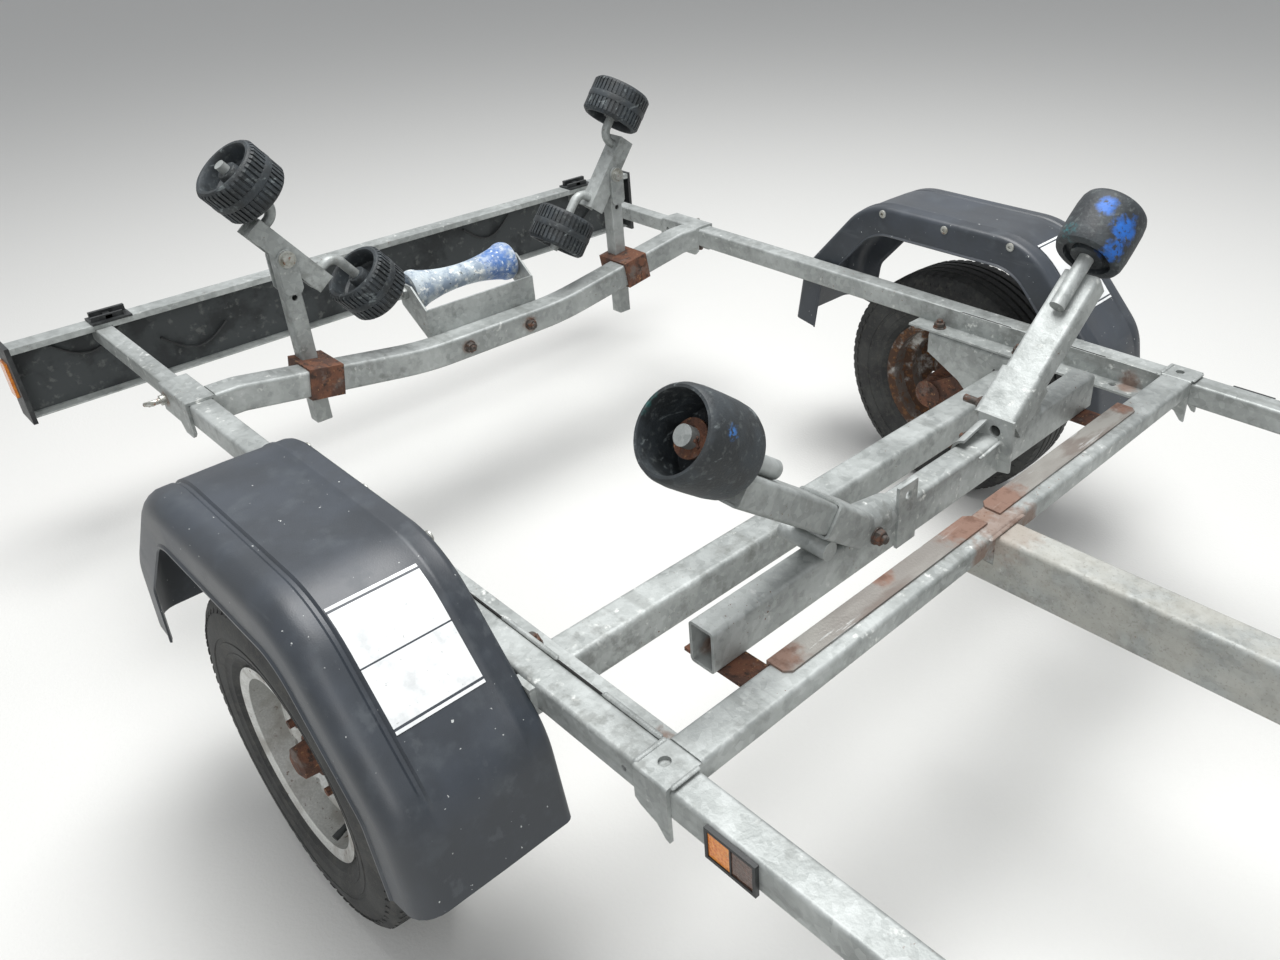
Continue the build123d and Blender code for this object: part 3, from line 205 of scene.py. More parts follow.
def makeWornStrip():
    # rolled strip with most of its zinc rubbed off: brown-grey, rusty at its clipped ends
    s = startSurface("wornZincStrip", "#7f7b76", 0.5, 0.4)
    weather(s, 120, 0.42, 0.6, "#97958f", 0.5, stretch=(1, 0.25, 1), seed=2.0)
    weather(s, 40, 0.48, 0.64, "#6c625b", 0.6, 0.3, strength=0.8, stretch=(1, 0.3, 1), seed=5.0)
    scratches = patches(s, 9, 0.6, 0.66, stretch=(1, 0.08, 1), seed=8.0)
    addLayer(s, scratches, "#c2c4c2", 0.4, 0.6, strength=0.6)
    for x, y, radius in ((505, 40, 60), (505, -40, 60), (490, -395, 42), (495, 400, 34), (491, -200, 22)):
        spot = nearSpot(s, at(x, y, 474), radius)
        addLayer(s, spot, "#7d5b4a", 0.8, 0.05, strength=0.8)
        addLayer(s, both(s, spot, patches(s, 18, 0.48, 0.66, seed=3.0)), "#553a2d", 0.85, 0.0, strength=0.6)
    roughen(s, 0.2, 4, 0.3, 0.7, detail=6)
    return finishSurface(s, edgeMm=0.8)


def makeRust(name, seed):
    # bare mild steel after years of rain: orange scale over dark brown, matt and gritty
    s = startSurface(name, "#51392f", 0.85, 0.05)
    weather(s, 30, 0.42, 0.6, "#6f4a38", 0.9, seed=seed)
    weather(s, 12, 0.52, 0.66, "#33261f", 0.8, detail=7, seed=seed + 2)
    weather(s, 6, 0.6, 0.7, "#9a7350", 0.9, seed=seed + 5)
    weather(s, 40, 0.55, 0.68, "#77706a", 0.6, 0.4, strength=0.6, seed=seed + 9)
    roughen(s, 0.5, 3, 0.25, 0.75, detail=6, seed=seed)
    roughen(s, 0.6, 16, 0.3, 0.7, seed=seed + 1)
    return finishSurface(s, edgeMm=0.8)


def makeZincHardware():
    # bright zinc-plated fittings, yellowish grey, rust starting in the threads
    s = startSurface("zincPlatedSteel", "#b2b3ae", 0.35, 0.7)
    weather(s, 25, 0.45, 0.65, "#8d8c82", 0.5, 0.5, seed=4.0)
    weather(s, 10, 0.56, 0.68, "#744a30", 0.8, 0.1, detail=7, seed=9.0)
    roughen(s, 0.15, 3, 0.3, 0.7)
    return finishSurface(s, edgeMm=0.6)


def makeWheelPaint(name, rust):
    # silver lacquer on a pressed rim: fine bright grain, brake dust, chips at the bead edge
    s = startSurface(name, "#b9bab7", 0.38, 0.55)
    weather(s, 3, 0.45, 0.6, "#d0d1ce", 0.33, strength=0.5, detail=2)
    weather(s, 60, 0.46, 0.64, "#8b8780", 0.55, 0.3, strength=0.7, seed=3.0)
    weather(s, 9, 0.6, 0.7, "#5b4636", 0.8, 0.1, strength=0.85, detail=8, seed=6.0)
    if rust:  # the hull side, where the lacquer has gone
        hidden = facing(s, (0, -1, 0), -0.6, 0.2)
        addLayer(s, both(s, hidden, patches(s, 45, 0.3, 0.5, detail=7, seed=1.0)), "#4a3426", 0.85, 0.05)
        addLayer(s, both(s, hidden, patches(s, 12, 0.52, 0.64, detail=7, seed=2.0)), "#6f4c30", 0.9, 0.0)
    roughen(s, 0.12, 4, 0.3, 0.7)
    return finishSurface(s, edgeMm=0.8)


def makeTyreRubber():
    # black tyre rubber greyed by road film, with paler dust low in the grooves
    s = startSurface("roadWornTyreRubber", "#232424", 0.72)
    weather(s, 70, 0.42, 0.62, "#3a3b3a", 0.8, seed=2.0)
    weather(s, 12, 0.5, 0.66, "#4c4b47", 0.88, strength=0.6, detail=8, seed=5.0)
    weather(s, 3, 0.62, 0.7, "#6a675f", 0.9, strength=0.4, detail=3, seed=7.0)
    roughen(s, 0.15, 2, 0.3, 0.7, detail=4)
    return finishSurface(s)


def makeGuardPlastic():
    # moulded polyethylene, blue-black with a satin skin, rain specks and dusty scuffs
    s = startSurface("mouldedMudguardPlastic", "#2b3036", 0.42)
    weather(s, 150, 0.4, 0.64, "#343a42", 0.48, seed=3.0)
    weather(s, 40, 0.5, 0.7, "#454b50", 0.6, strength=0.45, detail=7, seed=6.0)
    weather(s, 30, 0.6, 0.68, "#51565a", 0.6, strength=0.35, stretch=(0.1, 1, 1), seed=2.0)
    specks = patches(s, 7, 0.73, 0.76, detail=2, seed=9.0)
    addLayer(s, specks, "#c9ccca", 0.6, strength=0.8)
    roughen(s, 0.05, 1.6, 0.3, 0.7, detail=2)
    roughen(s, 1.5, 120, 0.2, 0.8, detail=1, seed=1.0)
    return finishSurface(s, Specular_IOR_Level=0.6)


def makeRollerRubber():
    # hard black rubber, rubbed grey by hulls and powdered with dry dust
    s = startSurface("rollerRubber", "#202426", 0.55)
    weather(s, 50, 0.42, 0.62, "#30363a", 0.62, seed=1.0)
    weather(s, 8, 0.54, 0.68, "#5a5f5e", 0.75, strength=0.5, detail=8, seed=4.0)
    weather(s, 14, 0.62, 0.68, "#9aa3a4", 0.7, strength=0.35, stretch=(1, 0.3, 1), seed=7.0)
    rim = nearSpot(s, at(372, -470, 790), 34, 7)
    addLayer(s, both(s, rim, patches(s, 6, 0.4, 0.5, detail=7, seed=3.0)), "#2c7a74", 0.6, strength=0.8)
    mark = nearSpot(s, at(455, -420, 760), 12, 5)
    addLayer(s, both(s, mark, patches(s, 4, 0.44, 0.54, detail=6, seed=5.0)), "#3a78bf", 0.55, strength=0.9)
    roughen(s, 0.2, 3, 0.3, 0.7, detail=4)
    return finishSurface(s)


blueStreaks = [(455, 398, 752, 26), (450, 376, 726, 22), (424, 396, 786, 20), (470, 414, 770, 15)]


def makePaintedRoller():
    # black rubber with a streak of strong blue paint rubbed off a hull
    s = startSurface("blueRubbedRubber", "#23272a", 0.55)
    weather(s, 50, 0.42, 0.62, "#33393c", 0.62, seed=1.0)
    weather(s, 9, 0.54, 0.68, "#666c6b", 0.75, strength=0.5, detail=8, seed=4.0)
    for x, y, z, radius in blueStreaks:
        streak = nearSpot(s, at(x, y, z), radius, 9)
        addLayer(s, both(s, streak, patches(s, 7, 0.36, 0.48, detail=7, seed=6.0)), "#1e63b8", 0.5)
    scuff = nearSpot(s, at(392, 372, 742), 20, 8)
    addLayer(s, both(s, scuff, patches(s, 5, 0.44, 0.56, detail=7, seed=2.0)), "#2f7f84", 0.6, strength=0.8)
    roughen(s, 0.3, 5, 0.3, 0.7, detail=6)
    return finishSurface(s)


def makeKeelRoller():
    # pale blue-grey moulded roller, chalked white, with deep blue left at one end
    s = startSurface("chalkedKeelRoller", "#b9c3c8", 0.6)
    weather(s, 30, 0.42, 0.6, "#8796a6", 0.6, detail=7, seed=2.0)
    weather(s, 12, 0.54, 0.64, "#e6e8e4", 0.7, detail=8, seed=5.0)
    end = nearSpot(s, at(-755, 88, 490), 62, 10)
    addLayer(s, end, "#2f66ad", 0.5, strength=0.9)
    addLayer(s, both(s, end, patches(s, 9, 0.56, 0.64, detail=8, seed=9.0)), "#dbe2e6", 0.7)
    far = nearSpot(s, at(-755, -104, 490), 30, 10)
    addLayer(s, far, "#3c5f8e", 0.55, strength=0.6)
    weather(s, 8, 0.6, 0.68, "#3b3e3c", 0.7, strength=0.7, detail=8, seed=13.0)
    roughen(s, 0.3, 4, 0.3, 0.7, detail=6)
    return finishSurface(s)


def makeBlackPlastic():
    s = startSurface("blackMouldedPlastic", "#1b1d1e", 0.45)  # glossy once, now hazed
    weather(s, 30, 0.45, 0.65, "#2f3232", 0.6)
    roughen(s, 0.08, 2, 0.3, 0.7)
    return finishSurface(s)


def makeLens(name, colour, facetGlint):
    # clear-coloured acrylic over a cube-corner moulding: painted glint on the facets under a hard gloss
    s = startSurface(name, colour, 0.18)
    facets = add(s["tree"], "ShaderNodeTexVoronoi", {"Vector": s["place"], "Scale": 1000 / 4},
                 distance="MANHATTAN")
    # painted glint: a lighter colour towards the edges of each facet cell
    addLayer(s, both(s, facets.outputs["Distance"], 0.9), facetGlint, 0.25)
    weather(s, 12, 0.56, 0.7, "#6e5a48", 0.6, strength=0.35, detail=7)
    s["heights"].append((facets.outputs["Distance"], 0.35))
    return finishSurface(s, Coat_Weight=0.5, Coat_Roughness=0.1)


def makeCastCoupling():
    s = startSurface("pressedCouplingSteel", "#7f8281", 0.45, 0.55)  # zinc worn by the towing ball
    weather(s, 30, 0.45, 0.62, "#5d5f5c", 0.6, 0.3)
    weather(s, 8, 0.56, 0.66, "#6c432b", 0.8, 0.1, detail=7, seed=3.0)
    roughen(s, 0.2, 3, 0.3, 0.7)
    return finishSurface(s, edgeMm=0.8)


finishes = {
    "galvanised": makeGalvanised("hotDipZincSteel", 0.0),
    "weathered_strip": makeWornStrip(),
    "rusty_steel": makeRust("rustedMildSteel", 2.0),
    "zinc_hardware": makeZincHardware(),
    "silver_paint": makeWheelPaint("silverWheelLacquer", False),
    "tyre_rubber": makeTyreRubber(),
    "mudguard_plastic": makeGuardPlastic(),
    "roller_rubber": makeRollerRubber(),
    "worn_blue_roller": makePaintedRoller(),
    "black_plastic": makeBlackPlastic(),
    "amber_lens": makeLens("amberReflexLens", "#d2641a", "#f09a3e"),
    "red_lens": makeLens("redReflexLens", "#8e1712", "#c7362a"),
    "coupling_steel": makeCastCoupling(),
}
keelFinish = makeKeelRoller()

slotOf = {part["node"]: part["material_slot"] for part in frame["record"]["subparts"]}
for name, node in nodes.items():
    node.data.materials.clear()
    node.data.materials.append(finishes[slotOf[name]])
nodes["keel_roller"].data.materials[0] = keelFinish
nodes["drawbar"].data.materials[0] = makeGalvanised("siltedZincSteel", 0.6)
nodes["rim_left"].data.materials[0] = makeWheelPaint("rustedWheelLacquer", True)
print("surfaces done")


# shapes
def loft(rings, capped=True):
    # a skin over rings with as many points each: capped at both ends, or closed round
    size, count = len(rings[0]), len(rings)
    points = [Vector(p) for ring in rings for p in ring]
    last = size * count - 1
    faces = [tuple(range(size)), tuple(range(last, last - size, -1))] if capped else []
    for i in range(count - 1 if capped else count):
        j = (i + 1) % count
        for k in range(size):
            n = (k + 1) % size
            faces.append((i * size + k, i * size + n, j * size + n, j * size + k))
    return points, faces


def moved(ring, move):
    return [Vector(p) + Vector(move) for p in ring]


def prism(outline, move):
    # a solid between an outline and the same outline moved
    return loft([outline, moved(outline, move)])


def block(x0, x1, y0, y1, z0, z1):
    return prism([(x0, y0, z0), (x1, y0, z0), (x1, y1, z0), (x0, y1, z0)], (0, 0, z1 - z0))


def across(axis):
    # an axis with two directions square to it
    axis = Vector(axis).normalized()
    side = Vector((0, 0, 1)).cross(axis)
    side = side.normalized() if side.length > 0.01 else Vector((1, 0, 0))
    return axis, side, axis.cross(side)


def roundBar(start, end, radius, sides=28):
    move = Vector(end) - Vector(start)
    axis, side, other = across(move)
    return prism([Vector(start) + side * a + other * b for a, b in circle(0, 0, radius, sides)], move)


def circle(middle, height, radius, sides=28):
    turns = [math.tau * i / sides for i in range(sides)]
    return [(middle + radius * math.cos(a), height + radius * math.sin(a)) for a in turns]


def roundedRing(place, side, up, width, height, corner):
    # outline of a tube with rounded corners
    ring, steps = [], 5
    for k, (sx, sy) in enumerate(((1, 1), (-1, 1), (-1, -1), (1, -1))):
        for i in range(steps + 1):
            a = math.pi / 2 * (k + i / steps)
            x = sx * (width / 2 - corner) + corner * math.cos(a)
            y = sy * (height / 2 - corner) + corner * math.sin(a)
            ring.append(Vector(place) + side * x + up * y)
    return ring


def squareTube(start, end, width, height, wall, corner):
    move = Vector(end) - Vector(start)
    axis, side, over = across(move)
    outer = roundedRing(start, side, over, width, height, corner)
    inner = roundedRing(start, side, over, width - 2 * wall, height - 2 * wall, max(corner - wall, 1.0))
    return loft([outer, inner, moved(inner, move), moved(outer, move)], capped=False)


def turnedShape(profile, centre, axis, steps):
    # closed (along, radius) outline turned round an axis
    axis, side, other = across(axis)
    rings = []
    for i in range(steps):
        a = math.tau * i / steps
        out = side * math.cos(a) + other * math.sin(a)
        rings.append([Vector(centre) + axis * along + out * radius for along, radius in profile])
    return loft(rings, capped=False)


def holedPlate(outline, holes, move):
    # flat plate of any outline with round or other holes
    rings = [[Vector(p) for p in ring] for ring in [outline] + holes]
    flat = [p for ring in rings for p in ring]
    triangles = tessellate_polygon(rings)
    count = len(flat)
    points = flat + moved(flat, move)
    faces = [tuple(t) for t in triangles] + [tuple(count + i for i in reversed(t)) for t in triangles]
    first = 0
    for ring in rings:
        size = len(ring)
        for i in range(size):
            a, b = first + i, first + (i + 1) % size
            faces.append((a, b, count + b, count + a))
        first += size
    return points, faces


def roundedPath(corners, radii, step):
    # points and outward directions along straight runs joined by arcs
    path = []
    last = Vector(corners[0])
    for i in range(1, len(corners)):
        corner = Vector(corners[i])
        if i == len(corners) - 1 or not radii[i]:
            ends = [corner]
        else:
            back = (Vector(corners[i - 1]) - corner).normalized()
            ahead = (Vector(corners[i + 1]) - corner).normalized()
            half = back.angle(ahead) / 2
            cut = radii[i] / math.tan(half)
            middle = corner + (back + ahead).normalized() * radii[i] / math.sin(half)
            a, b = corner + back * cut - middle, corner + ahead * cut - middle
            bend = a.angle(b)
            count = max(3, round(bend * radii[i] / step))
            ends = []
            for k in range(count + 1):
                t = k / count
                ends.append(middle + (a * math.sin((1 - t) * bend) + b * math.sin(t * bend)) / math.sin(bend))
        run = (ends[0] - last).length
        pieces = max(1, round(run / step))
        path += [last.lerp(ends[0], k / pieces) for k in range(pieces)]
        path += ends[:-1]
        last = ends[-1]
    path.append(last)
    outward = []
    for i, point in enumerate(path):
        along = (path[min(i + 1, len(path) - 1)] - path[max(i - 1, 0)]).normalized()
        outward.append(Vector((-along.y, along.x)))
    return path, outward


def join(*shapes):
    # several closed shapes as one
    points, faces = [], []
    for more, rings in shapes:
        first = len(points)
        points += list(more)
        faces += [tuple(first + i for i in ring) for ring in rings]
    return points, faces


def mirrored(shape):
    points, faces = shape
    return [Vector((p[0], -p[1], p[2])) for p in points], [tuple(reversed(ring)) for ring in faces]


def onSide(side, shape):
    # shapes are drawn for the left side, which is 1; the right side is -1
    return shape if side > 0 else mirrored(shape)


def atOrigin(x, y, z):
    return Vector((x, y, z)) / 1000


edgeDegrees = 34.0  # an edge that turns more than this stays sharp


def makeMesh(name, shape, finish=None, sharpDegrees=edgeDegrees, place=at):
    # a closed mesh in metres with its faces outward
    mesh = bpy.data.meshes.new(name)
    mesh.from_pydata([place(*p) for p in shape[0]], [], shape[1])
    work = bmesh.new()
    work.from_mesh(mesh)
    bmesh.ops.recalc_face_normals(work, faces=work.faces)
    work.to_mesh(mesh)
    work.free()
    mesh.shade_smooth()
    mesh.set_sharp_from_angle(angle=math.radians(sharpDegrees))
    if finish:
        mesh.materials.append(finish)
    return mesh


def makePiece(name, mesh, body, slot, *standsFor):
    piece = bpy.data.objects.new(name, mesh)
    bpy.context.scene.collection.objects.link(piece)
    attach(piece, body)
    if standsFor:
        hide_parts(*standsFor)


def makeSolid(name, shape, slot, *standsFor, body="chassis", finish=None):
    # one closed shape in its slot's own finish, unless another is given
    makePiece(name, makeMesh(name, shape, finish or finishes[slot]), body, slot, *standsFor)


def joinMeshes(name, meshes, finishList):
    # several finished meshes as one, each face keeping its finish
    work = bmesh.new()
    for mesh in meshes:
        finish = [known for known in mesh.materials if known][-1]
        first = len(work.faces)
        work.from_mesh(mesh)
        work.faces.ensure_lookup_table()
        for face in work.faces[first:]:
            face.material_index = finishList.index(finish)
    result = bpy.data.meshes.new(name)
    work.to_mesh(result)
    work.free()
    for finish in finishList:
        result.materials.append(finish)
    return result


def mixedMesh(name, *parts):
    # (finish, shapes) pairs as one mesh
    meshes = [makeMesh(name, join(*shapes), finish) for finish, shapes in parts]
    mesh = joinMeshes(name, meshes, [finish for finish, shapes in parts])
    mesh.set_sharp_from_angle(angle=math.radians(edgeDegrees))
    return mesh


# rings of copies and rows of fasteners, made with geometry nodes
def openTree(name, inputs, output):
    # an empty tree with its named inputs, and one shape coming out
    tree = bpy.data.node_groups.new(name, "GeometryNodeTree")
    for label, kind in inputs.items():
        tree.interface.new_socket(label, in_out="INPUT", socket_type="NodeSocket" + kind)
    tree.interface.new_socket(output, in_out="OUTPUT", socket_type="NodeSocketGeometry")
    return tree, add(tree, "NodeGroupInput")


def makeRingTree():
    # turns copies of a shape round its Y axis, then carries the ring to its place
    tree, given = openTree("ringOfCopies", {
        "Shape": "Geometry", "Count": "Int", "Start": "Float", "Turn": "Vector", "Centre": "Vector",
        "Finish": "Material"}, "Ring")
    spots = add(tree, "GeometryNodePoints", {"Count": given.outputs["Count"]})
    index = add(tree, "GeometryNodeInputIndex")
    share = add(tree, "ShaderNodeMath", {0: index.outputs[0], 1: given.outputs["Count"]}, operation="DIVIDE")
    angle = add(tree, "ShaderNodeMath", {0: share.outputs[0], 1: math.tau, 2: given.outputs["Start"]},
                operation="MULTIPLY_ADD")
    spin = add(tree, "ShaderNodeCombineXYZ", {"Y": angle.outputs[0]})
    copies = add(tree, "GeometryNodeInstanceOnPoints", {
        "Points": spots.outputs[0], "Instance": given.outputs["Shape"], "Rotation": spin.outputs[0]})
    whole = add(tree, "GeometryNodeRealizeInstances", {0: copies.outputs[0]})
    placed = add(tree, "GeometryNodeTransform", {
        "Geometry": whole.outputs[0], "Translation": given.outputs["Centre"],
        "Rotation": given.outputs["Turn"]})
    painted = add(tree, "GeometryNodeSetMaterial", {
        "Geometry": placed.outputs[0], "Material": given.outputs["Finish"]})
    add(tree, "NodeGroupOutput", {"Ring": painted.outputs[0]})
    return tree


def makeFastenerTree():
    # stands a bolt, nut or weld bead on each point, along the direction stored there
    tree, given = openTree("rowOfFasteners", {
        "Spots": "Geometry", "Fastener": "Object", "Wobble": "Float", "Finish": "Material"}, "Row")
    aim = add(tree, "GeometryNodeInputNamedAttribute", {"Name": "aim"}, data_type="FLOAT_VECTOR")
    stood = add(tree, "FunctionNodeAlignRotationToVector", {"Vector": aim.outputs["Attribute"]}, axis="Z")
    twist = add(tree, "FunctionNodeRandomValue", {"Seed": 11}, data_type="FLOAT")
    angle = add(tree, "ShaderNodeMath", {0: twist.outputs[1], 1: given.outputs["Wobble"]},
                operation="MULTIPLY")
    spin = add(tree, "ShaderNodeCombineXYZ", {"Z": angle.outputs[0]})
    turned = add(tree, "FunctionNodeRotateRotation", {
        "Rotation": stood.outputs[0], "Rotate By": spin.outputs[0]}, rotation_space="LOCAL")
    model = add(tree, "GeometryNodeObjectInfo", {"Object": given.outputs["Fastener"]})
    copies = add(tree, "GeometryNodeInstanceOnPoints", {
        "Points": given.outputs["Spots"], "Instance": model.outputs["Geometry"],
        "Rotation": turned.outputs[0]})
    whole = add(tree, "GeometryNodeRealizeInstances", {0: copies.outputs[0]})
    painted = add(tree, "GeometryNodeSetMaterial", {
        "Geometry": whole.outputs[0], "Material": given.outputs["Finish"]})
    add(tree, "NodeGroupOutput", {"Row": painted.outputs[0]})
    return tree


def growMesh(name, seedMesh, tree, values):
    # runs a tree on a mesh and keeps the result as a plain mesh
    carrier = bpy.data.objects.new(name, seedMesh)
    bpy.context.scene.collection.objects.link(carrier)
    grower = carrier.modifiers.new("grow", "NODES")
    grower.node_group = tree
    for socket in tree.interface.items_tree:
        if socket.in_out == "INPUT" and socket.name in values:
            grower[socket.identifier] = values[socket.name]
    result = bpy.data.meshes.new_from_object(carrier.evaluated_get(bpy.context.evaluated_depsgraph_get()))
    carrier.modifiers.remove(grower)
    bpy.data.objects.remove(carrier)
    result.name = name
    return result


ringTree = makeRingTree()
fastenerTree = makeFastenerTree()


def modelMesh(name, shape):
    # a small model round the origin, to be copied
    return makeMesh(name, shape, sharpDegrees=30.0, place=atOrigin)


def growRing(name, shape, count, centre, axis, finish, start):
    turn = Vector((0, 1, 0)).rotation_difference(Vector(axis).normalized()).to_euler()
    return growMesh(name, modelMesh(name + "Seed", shape), ringTree, {
        "Count": count, "Start": start, "Turn": tuple(turn), "Centre": tuple(at(*centre)), "Finish": finish})


def growFasteners(name, model, spots, finish, wobble=0.4):
    # spots are ((x, y, z), direction) pairs in millimetres
    mesh = bpy.data.meshes.new(name + "Spots")
    mesh.from_pydata([at(*place) for place, aim in spots], [], [])
    stored = mesh.attributes.new("aim", "FLOAT_VECTOR", "POINT")
    for i, (place, aim) in enumerate(spots):
        stored.data[i].vector = Vector(aim).normalized()
    fastener = bpy.data.objects.new(name + "Model", modelMesh(name + "Model", model))
    bpy.context.scene.collection.objects.link(fastener)
    result = growMesh(name, mesh, fastenerTree, {"Fastener": fastener, "Wobble": wobble, "Finish": finish})
    bpy.data.objects.remove(fastener)
    return result


# mudguards with their blank signs
guard = {"path": [(-372, 300), (-350, 424), (-188, 602), (188, 602), (350, 424), (372, 300)],
         "rounds": [0, 110, 150, 150, 110, 0], "sheet": 3.0, "leftLift": 12, "spacers": (-306, 306),
         "screws": {"x": (-139, 9, 154), "y": 604.5, "z": 587, "radius": 8, "height": 4}}
sign = {"start": (189, 592), "inner": 641, "outer": 747, "height": 1.3,
        "strips": ((0, 4, False), (4, 7, True), (7, 73, False), (73, 75, True), (75, 143, False),
                   (143, 146, True), (146, 150, False))}  # from, to and whether the strip is a dark line


def guardSection(fade):
    # (across, out) points from the inner flange over the crown to the rolled skirt lip
    ridge, groove = 1.8 * fade, 3.2 * fade
    shoulder, bend = 767.4, 32.0
    edge = shoulder + bend
    points = [(601, -57), (604, -54), (604, -10), (605.5, -5), (609, -1.6), (614, 0), (628, 0),
              (631, ridge), (636, ridge), (639, 0), (694, 0.6), (748, 0), (751, -groove), (755, -groove),
              (758, -0.8 * fade), (shoulder, -0.8 * fade)]
    for degrees in range(15, 91, 15):
        a = math.radians(degrees)
        points.append((shoulder + bend * math.sin(a), bend * math.cos(a) - bend))
    return points + [(edge, -64), (edge + 2.5, -67), (edge + 2.5, -70), (edge, -71)]


def offsetLine(points, distance):
    line = []
    for i, point in enumerate(points):
        before = Vector(points[max(i - 1, 0)])
        after = Vector(points[min(i + 1, len(points) - 1)])
        along = (after - before).normalized()
        line.append(Vector(point) + Vector((along.y, -along.x)) * distance)
    return line


def sweepShell(path, outward, sections, sheet):
    # a bent sheet from one section at each point of the path, its two ends closed in strips
    rings = []
    for place, out, section in zip(path, outward, sections):
        ring = [Vector(p) for p in section] + list(reversed(offsetLine(section, sheet)))
        rings.append([Vector((place.x + out.x * p.y, p.x, place.y + out.y * p.y)) for p in ring])
    points, faces = loft(rings)
    size = len(rings[0])
    ends = [(first + k, first + k + 1, first + size - 2 - k, first + size - 1 - k)
            for first in (0, len(points) - size) for k in range(size // 2 - 1)]
    return points, faces[2:] + ends


def guardShape():
    # the ridge and the groove fade out on the way down to the ends
    path, outward = roundedPath(guard["path"], guard["rounds"], 9.0)
    sections = [guardSection(min(1.0, max(0.0, (place.y - 380) / 60))) for place in path]
    return sweepShell(path, outward, sections, guard["sheet"])


def signStrips():
    # a thin sheet laid along the front of the crown: (shape, dark) from its top edge to its foot
    path, outward = roundedPath(guard["path"], guard["rounds"], 3.0)
    start = min(range(len(path)), key=lambda i: (path[i] - Vector(sign["start"])).length)
    y0, y1, top = sign["inner"], sign["outer"], sign["height"]
    strips = []
    for low, high, dark in sign["strips"]:
        rows = []
        for share in (0, 0.25, 0.5, 0.75, 1.0):
            wanted, i, begun = low + (high - low) * share, start, 0.0
            while begun + (path[i + 1] - path[i]).length < wanted:
                begun += (path[i + 1] - path[i]).length
                i += 1
            t = (wanted - begun) / (path[i + 1] - path[i]).length
            rows.append((path[i].lerp(path[i + 1], t), outward[i].lerp(outward[i + 1], t).normalized()))
        rings = [[(place.x + out.x * height, y, place.y + out.y * height)
                  for y, height in ((y0, top), (y1, top), (y1, 0.4), (y0, 0.4))] for place, out in rows]
        strips.append((loft(rings), dark))
    return strips


def lifted(rise, shape):
    return moved(shape[0], (0, 0, rise)), shape[1]


def capScrew(radius, height):
    # a low rounded head with a socket, standing on its seat
    profile = [(-2, 0.2), (-2, radius * 0.8), (0, radius), (height * 0.5, radius),
               (height * 0.9, radius * 0.7), (height, radius * 0.35), (height * 0.4, radius * 0.3),
               (height * 0.4, 0.2)]
    return turnedShape(profile, (0, 0, 0), (0, 0, 1), 20)


def hexBolt(flats, height, washer, thread, tail):
    # washer, chamfered hexagon and the end of the thread, standing on its seat
    plate = turnedShape([(-0.6, 0.3), (-0.6, washer), (1.8, washer), (2.2, washer - 0.6), (2.2, 0.3)],
                        (0, 0, 0), (0, 0, 1), 24)
    ring = circle(0, 0, flats / 1.732, 6)
    levels = ((2.2, 1.0), (height + 0.9, 1.0), (height + 2.2, 0.86))
    head = loft([[(x * share, y * share, level) for x, y in ring] for level, share in levels])
    end = turnedShape([(2, 0.3), (2, thread), (height + tail, thread), (height + tail + 1, thread - 1),
                       (height + tail + 1, 0.3)], (0, 0, 0), (0, 0, 1), 18)
    return join(plate, head, end)


def makeGuards():
    screws = guard["screws"]
    for name, side, rise in (("left", 1, guard["leftLift"]), ("right", -1, 0)):
        shell = onSide(side, lifted(rise, guardShape()))
        makeSolid("mudguardShell" + name.title(), shell, "mudguard_plastic", "mudguard_" + name)
        white, dark = [], []
        for shape, isDark in signStrips():
            (dark if isDark else white).append(onSide(side, lifted(rise, shape)))
        sheet = mixedMesh("sign", (signFinish, white), (signLineFinish, dark))
        makePiece("blankSign" + name.title(), sheet, "chassis", "mudguard_plastic")
        spots = [((x, side * screws["y"], screws["z"] + rise), (0, -side, 0)) for x in screws["x"]]
        heads = growFasteners("flangeScrews", capScrew(screws["radius"], screws["height"]), spots,
                              finishes["zinc_hardware"])
        makePiece("guardScrews" + name.title(), heads, "chassis", "zinc_hardware")
    feet = [onSide(side, block(x - 16, x + 16, 597.5, 606, 433, 463))
            for x in guard["spacers"] for side in (1, -1)]
    makeSolid("guardSpacers", join(*feet), "galvanised", "mudguard_feet")


# tyres and valves
tyre = {"radius": 243.0, "halfWidth": 72.5, "bead": 127.3, "lip": 57.7, "flange": 142.0, "y": 711, "z": 243,
        "grooves": (-31, -11, 11, 31), "grooveHalf": 3.2, "grooveDepth": 6.0, "lugs": 72}
valve = {"foot": (58, 733, 167), "tip": (66, 772, 159), "radius": 4.2, "base": 7, "cap": 4.8}


def evened(half):
    # an outline from its half on the plus side, first point to last, and the same in the mirror
    return half + [(-along, radius) for along, radius in reversed(half)]


def tyreProfile():
    # outline over the tread, down both sidewalls with their raised rings, and back inside
    r, w, lip, f = tyre["radius"], tyre["halfWidth"], tyre["lip"], tyre["flange"]
    tread = []
    for y in tyre["grooves"]:
        crown = r - (y / 55) ** 2 * 3
        half, low = tyre["grooveHalf"], crown - tyre["grooveDepth"]
        tread += [(y - half, crown), (y - half + 0.8, low), (y + half - 0.8, low), (y + half, crown)]
    side = [(56, r - 3.2), (61, r - 7), (64.5, r - 14), (66, r - 21), (70.5, r - 36), (w, r - 48),
            (w - 0.2, r - 54), (w - 1.6, r - 55), (w - 1.8, r - 60), (w - 0.6, r - 61), (w - 1.6, r - 67),
            (69, r - 76), (69.8, r - 77), (68.5, r - 79), (66, r - 86), (66.4, r - 88), (63, r - 92),
            (lip + 1.5, f + 5), (lip, f + 1), (lip, tyre["bead"])]
    side += [(lip - 14, tyre["bead"]), (lip - 12, f), (w - 8, (f + r) / 2 - 4), (w - 21, r - 17)]
    return tread + side + [(0, r - 14)] + [(-a, b) for a, b in reversed(side)]


